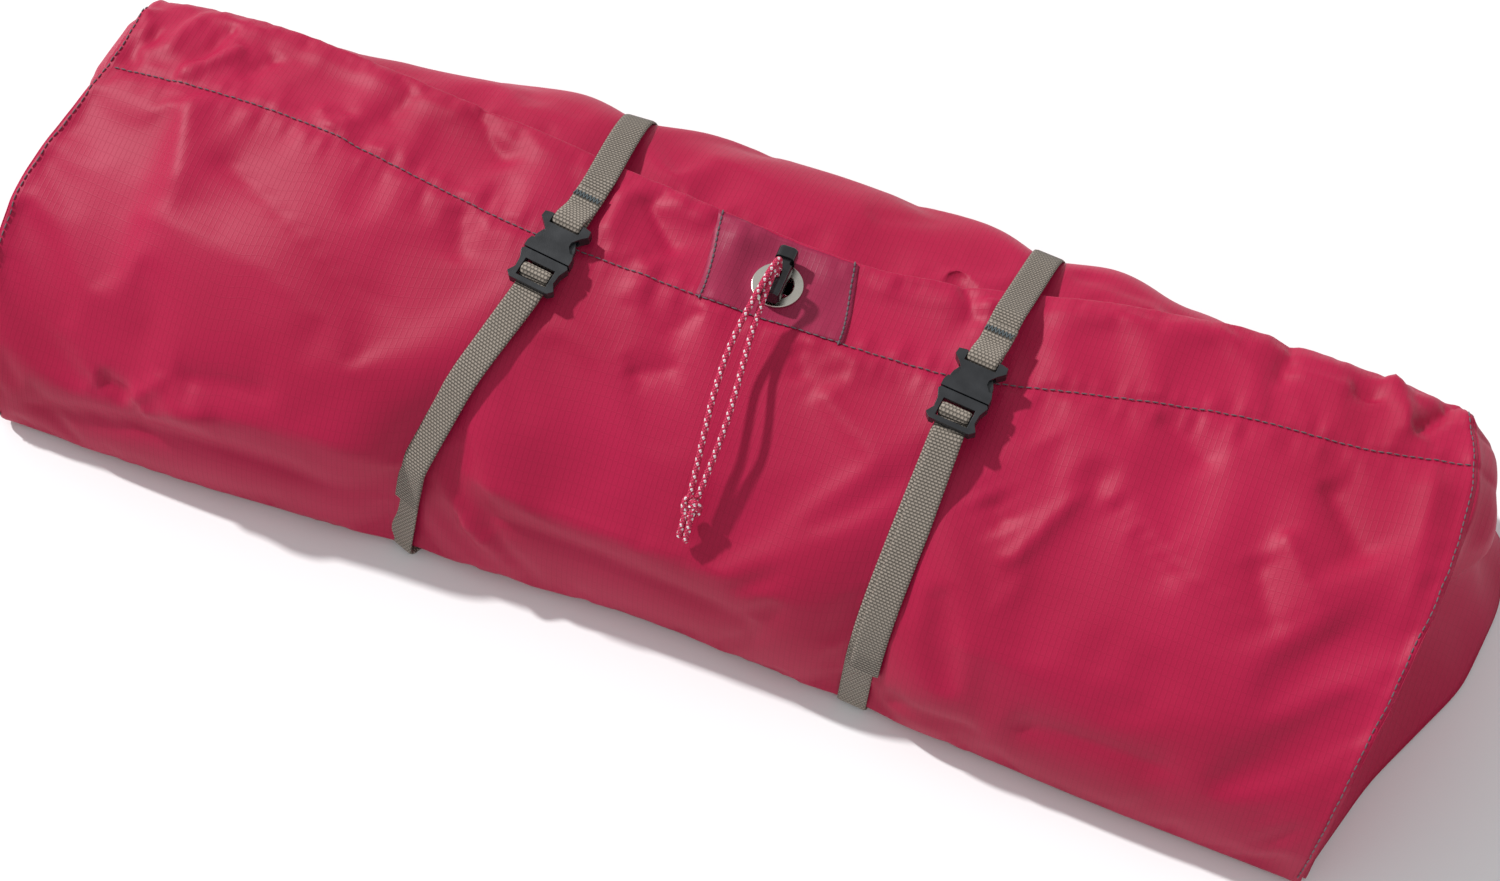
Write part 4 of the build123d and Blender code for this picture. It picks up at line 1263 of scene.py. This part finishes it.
def stitchTree():
    tree = bpy.data.node_groups.new("stitchRow", "GeometryNodeTree")
    face = tree.interface
    face.new_socket("Line", in_out="INPUT", socket_type="NodeSocketGeometry")
    for label, value in (("Spacing", 0.0032), ("Length", 0.0025), ("Thickness", 0.0006)):
        face.new_socket(label, in_out="INPUT", socket_type="NodeSocketFloat").default_value = value
    face.new_socket("Material", in_out="INPUT", socket_type="NodeSocketMaterial")
    face.new_socket("Stitches", in_out="OUTPUT", socket_type="NodeSocketGeometry")
    made = {}
    for key, kind in (("in", "NodeGroupInput"), ("curve", "GeometryNodeMeshToCurve"),
                      ("even", "GeometryNodeResampleCurve"), ("ball", "GeometryNodeMeshUVSphere"),
                      ("way", "GeometryNodeInputTangent"), ("align", "FunctionNodeAlignRotationToVector"),
                      ("lean", "FunctionNodeRandomValue"), ("tip", "FunctionNodeRotateRotation"),
                      ("toTurn", "FunctionNodeEulerToRotation"), ("size", "ShaderNodeCombineXYZ"),
                      ("spread", "GeometryNodeInstanceOnPoints"), ("real", "GeometryNodeRealizeInstances"),
                      ("flat", "GeometryNodeSetShadeSmooth"), ("paint", "GeometryNodeSetMaterial"),
                      ("out", "NodeGroupOutput")):
        made[key] = tree.nodes.new(kind)
    made["even"].mode = "LENGTH"
    made["align"].axis = "Z"
    made["lean"].data_type = "FLOAT_VECTOR"
    made["ball"].inputs["Segments"].default_value = 7
    made["ball"].inputs["Rings"].default_value = 5
    made["ball"].inputs["Radius"].default_value = 0.5
    made["lean"].inputs[0].default_value = (-0.12, -0.12, 0.0)
    made["lean"].inputs[1].default_value = (0.12, 0.12, 0.0)
    made["lean"].inputs["Seed"].default_value = 5
    wires = (
        ("in", "Line", "curve", "Mesh"), ("curve", "Curve", "even", "Curve"),
        ("in", "Spacing", "even", "Length"), ("even", "Curve", "spread", "Points"),
        ("ball", "Mesh", "spread", "Instance"),
        ("way", "Tangent", "align", "Vector"), ("align", "Rotation", "tip", "Rotation"),
        ("lean", 0, "toTurn", 0), ("toTurn", 0, "tip", "Rotate By"), ("tip", 0, "spread", "Rotation"),
        ("in", "Thickness", "size", 0), ("in", "Thickness", "size", 1), ("in", "Length", "size", 2),
        ("size", 0, "spread", "Scale"), ("spread", "Instances", "real", "Geometry"),
        ("real", "Geometry", "flat", "Geometry"), ("flat", "Geometry", "paint", "Geometry"),
        ("in", "Material", "paint", "Material"), ("paint", "Geometry", "out", 0),
    )
    for giver, output, taker, entry in wires:
        tree.links.new(made[giver].outputs[output], made[taker].inputs[entry])
    return tree


stitchNodes = stitchTree()


def stitchRow(name, lines, sizes, material):
    verts, edges = [], []
    for points in lines:
        first = len(verts)
        verts += [tuple(p * mm) for p in points]
        edges += [(first + k, first + k + 1) for k in range(len(points) - 1)]
    mesh = bpy.data.meshes.new(name + "Line")
    mesh.from_pydata(verts, edges, [])
    guide = bpy.data.objects.new(name + "Line", mesh)
    scene.collection.objects.link(guide)
    modifier = guide.modifiers.new("stitches", "NODES")
    modifier.node_group = stitchNodes
    wanted = dict(zip(("Spacing", "Length", "Thickness"), sizes))
    wanted["Material"] = material
    for item in stitchNodes.interface.items_tree:
        if item.item_type == "SOCKET" and item.in_out == "INPUT" and item.name in wanted:
            modifier[item.identifier] = wanted[item.name]
    bpy.context.view_layer.update()
    evaluated = guide.evaluated_get(bpy.context.evaluated_depsgraph_get())
    result = bpy.data.objects.new(name, bpy.data.meshes.new_from_object(evaluated))
    scene.collection.objects.link(result)
    bpy.data.objects.remove(guide)
    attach(result, "sack")
    return result


def onShell(j, columns, lift):
    return np.array([shell[j, i] + normals[j, i] * lift for i in columns])


stitch = {"spacing": 0.0031, "length": 0.0027, "thickness": 0.00062, "lift": 0.12}
hemStitch = (stitch["spacing"], stitch["length"], stitch["thickness"])
stitchRow("hemStitches", [onShell(hem, range(3, fineCols - 2), stitch["lift"] + 0.5)], hemStitch, thread)
patchLines = []
for column in (patchCols[0] + 1, patchCols[-1] - 1):
    patchLines.append(np.array([shell[j, column] + normals[j, column] * 0.6 for j in range(hem, mouth + 1)]))
stitchRow("patchStitches", patchLines, (0.0024, 0.0024, 0.0009), thread)
seamLines = []
for column in (fineCols - 2, 1):
    for stretch in (range(6, mouth - 8), range(mouth + 10, fineRows - 6)):
        seamLines.append(np.array([shell[j, column] + normals[j, column] * 0.25 for j in stretch]))
stitchRow("seamStitches", seamLines, hemStitch, thread)

for name, (origin, right, up, out) in strapFrames.items():
    passes = 15
    points = []
    for k in range(passes + 1):
        points.append(((k / passes - 0.5) * 11.6, 1.2 if k % 2 else -1.2))
    top = webLayer["z"] + 1.5 * strapShape["thick"] + 0.42
    zigzag = np.array([origin + up * (webLayer["tackY"] + b) + right * a + out * top for a, b in points])
    even = resampled(zigzag, np.arange(0, runLength(zigzag)[-1], 0.35))
    tack = tubeMesh(f"{name}Bartack", even, 0.33, tackThread, 7)
    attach(tack, "sack")
    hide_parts(f"{name}_bartack")
print("stitches made")

corners = [(-3, -3, -0.0002), (3, -3, -0.0002), (3, 3, -0.0002), (-3, 3, -0.0002)]
floor = meshObject("floor", corners, [(0, 1, 2, 3)])
pale = Shade("paleFloor", 0.8)
cloud = pale.noise(2.0, 2.0)
whole = studio["floor"]
floorTone = pale.mix(cloud, (whole, whole, whole, 1), (whole * 0.985,) * 3 + (1,))
floor.data.materials.append(pale.finish(floorTone))
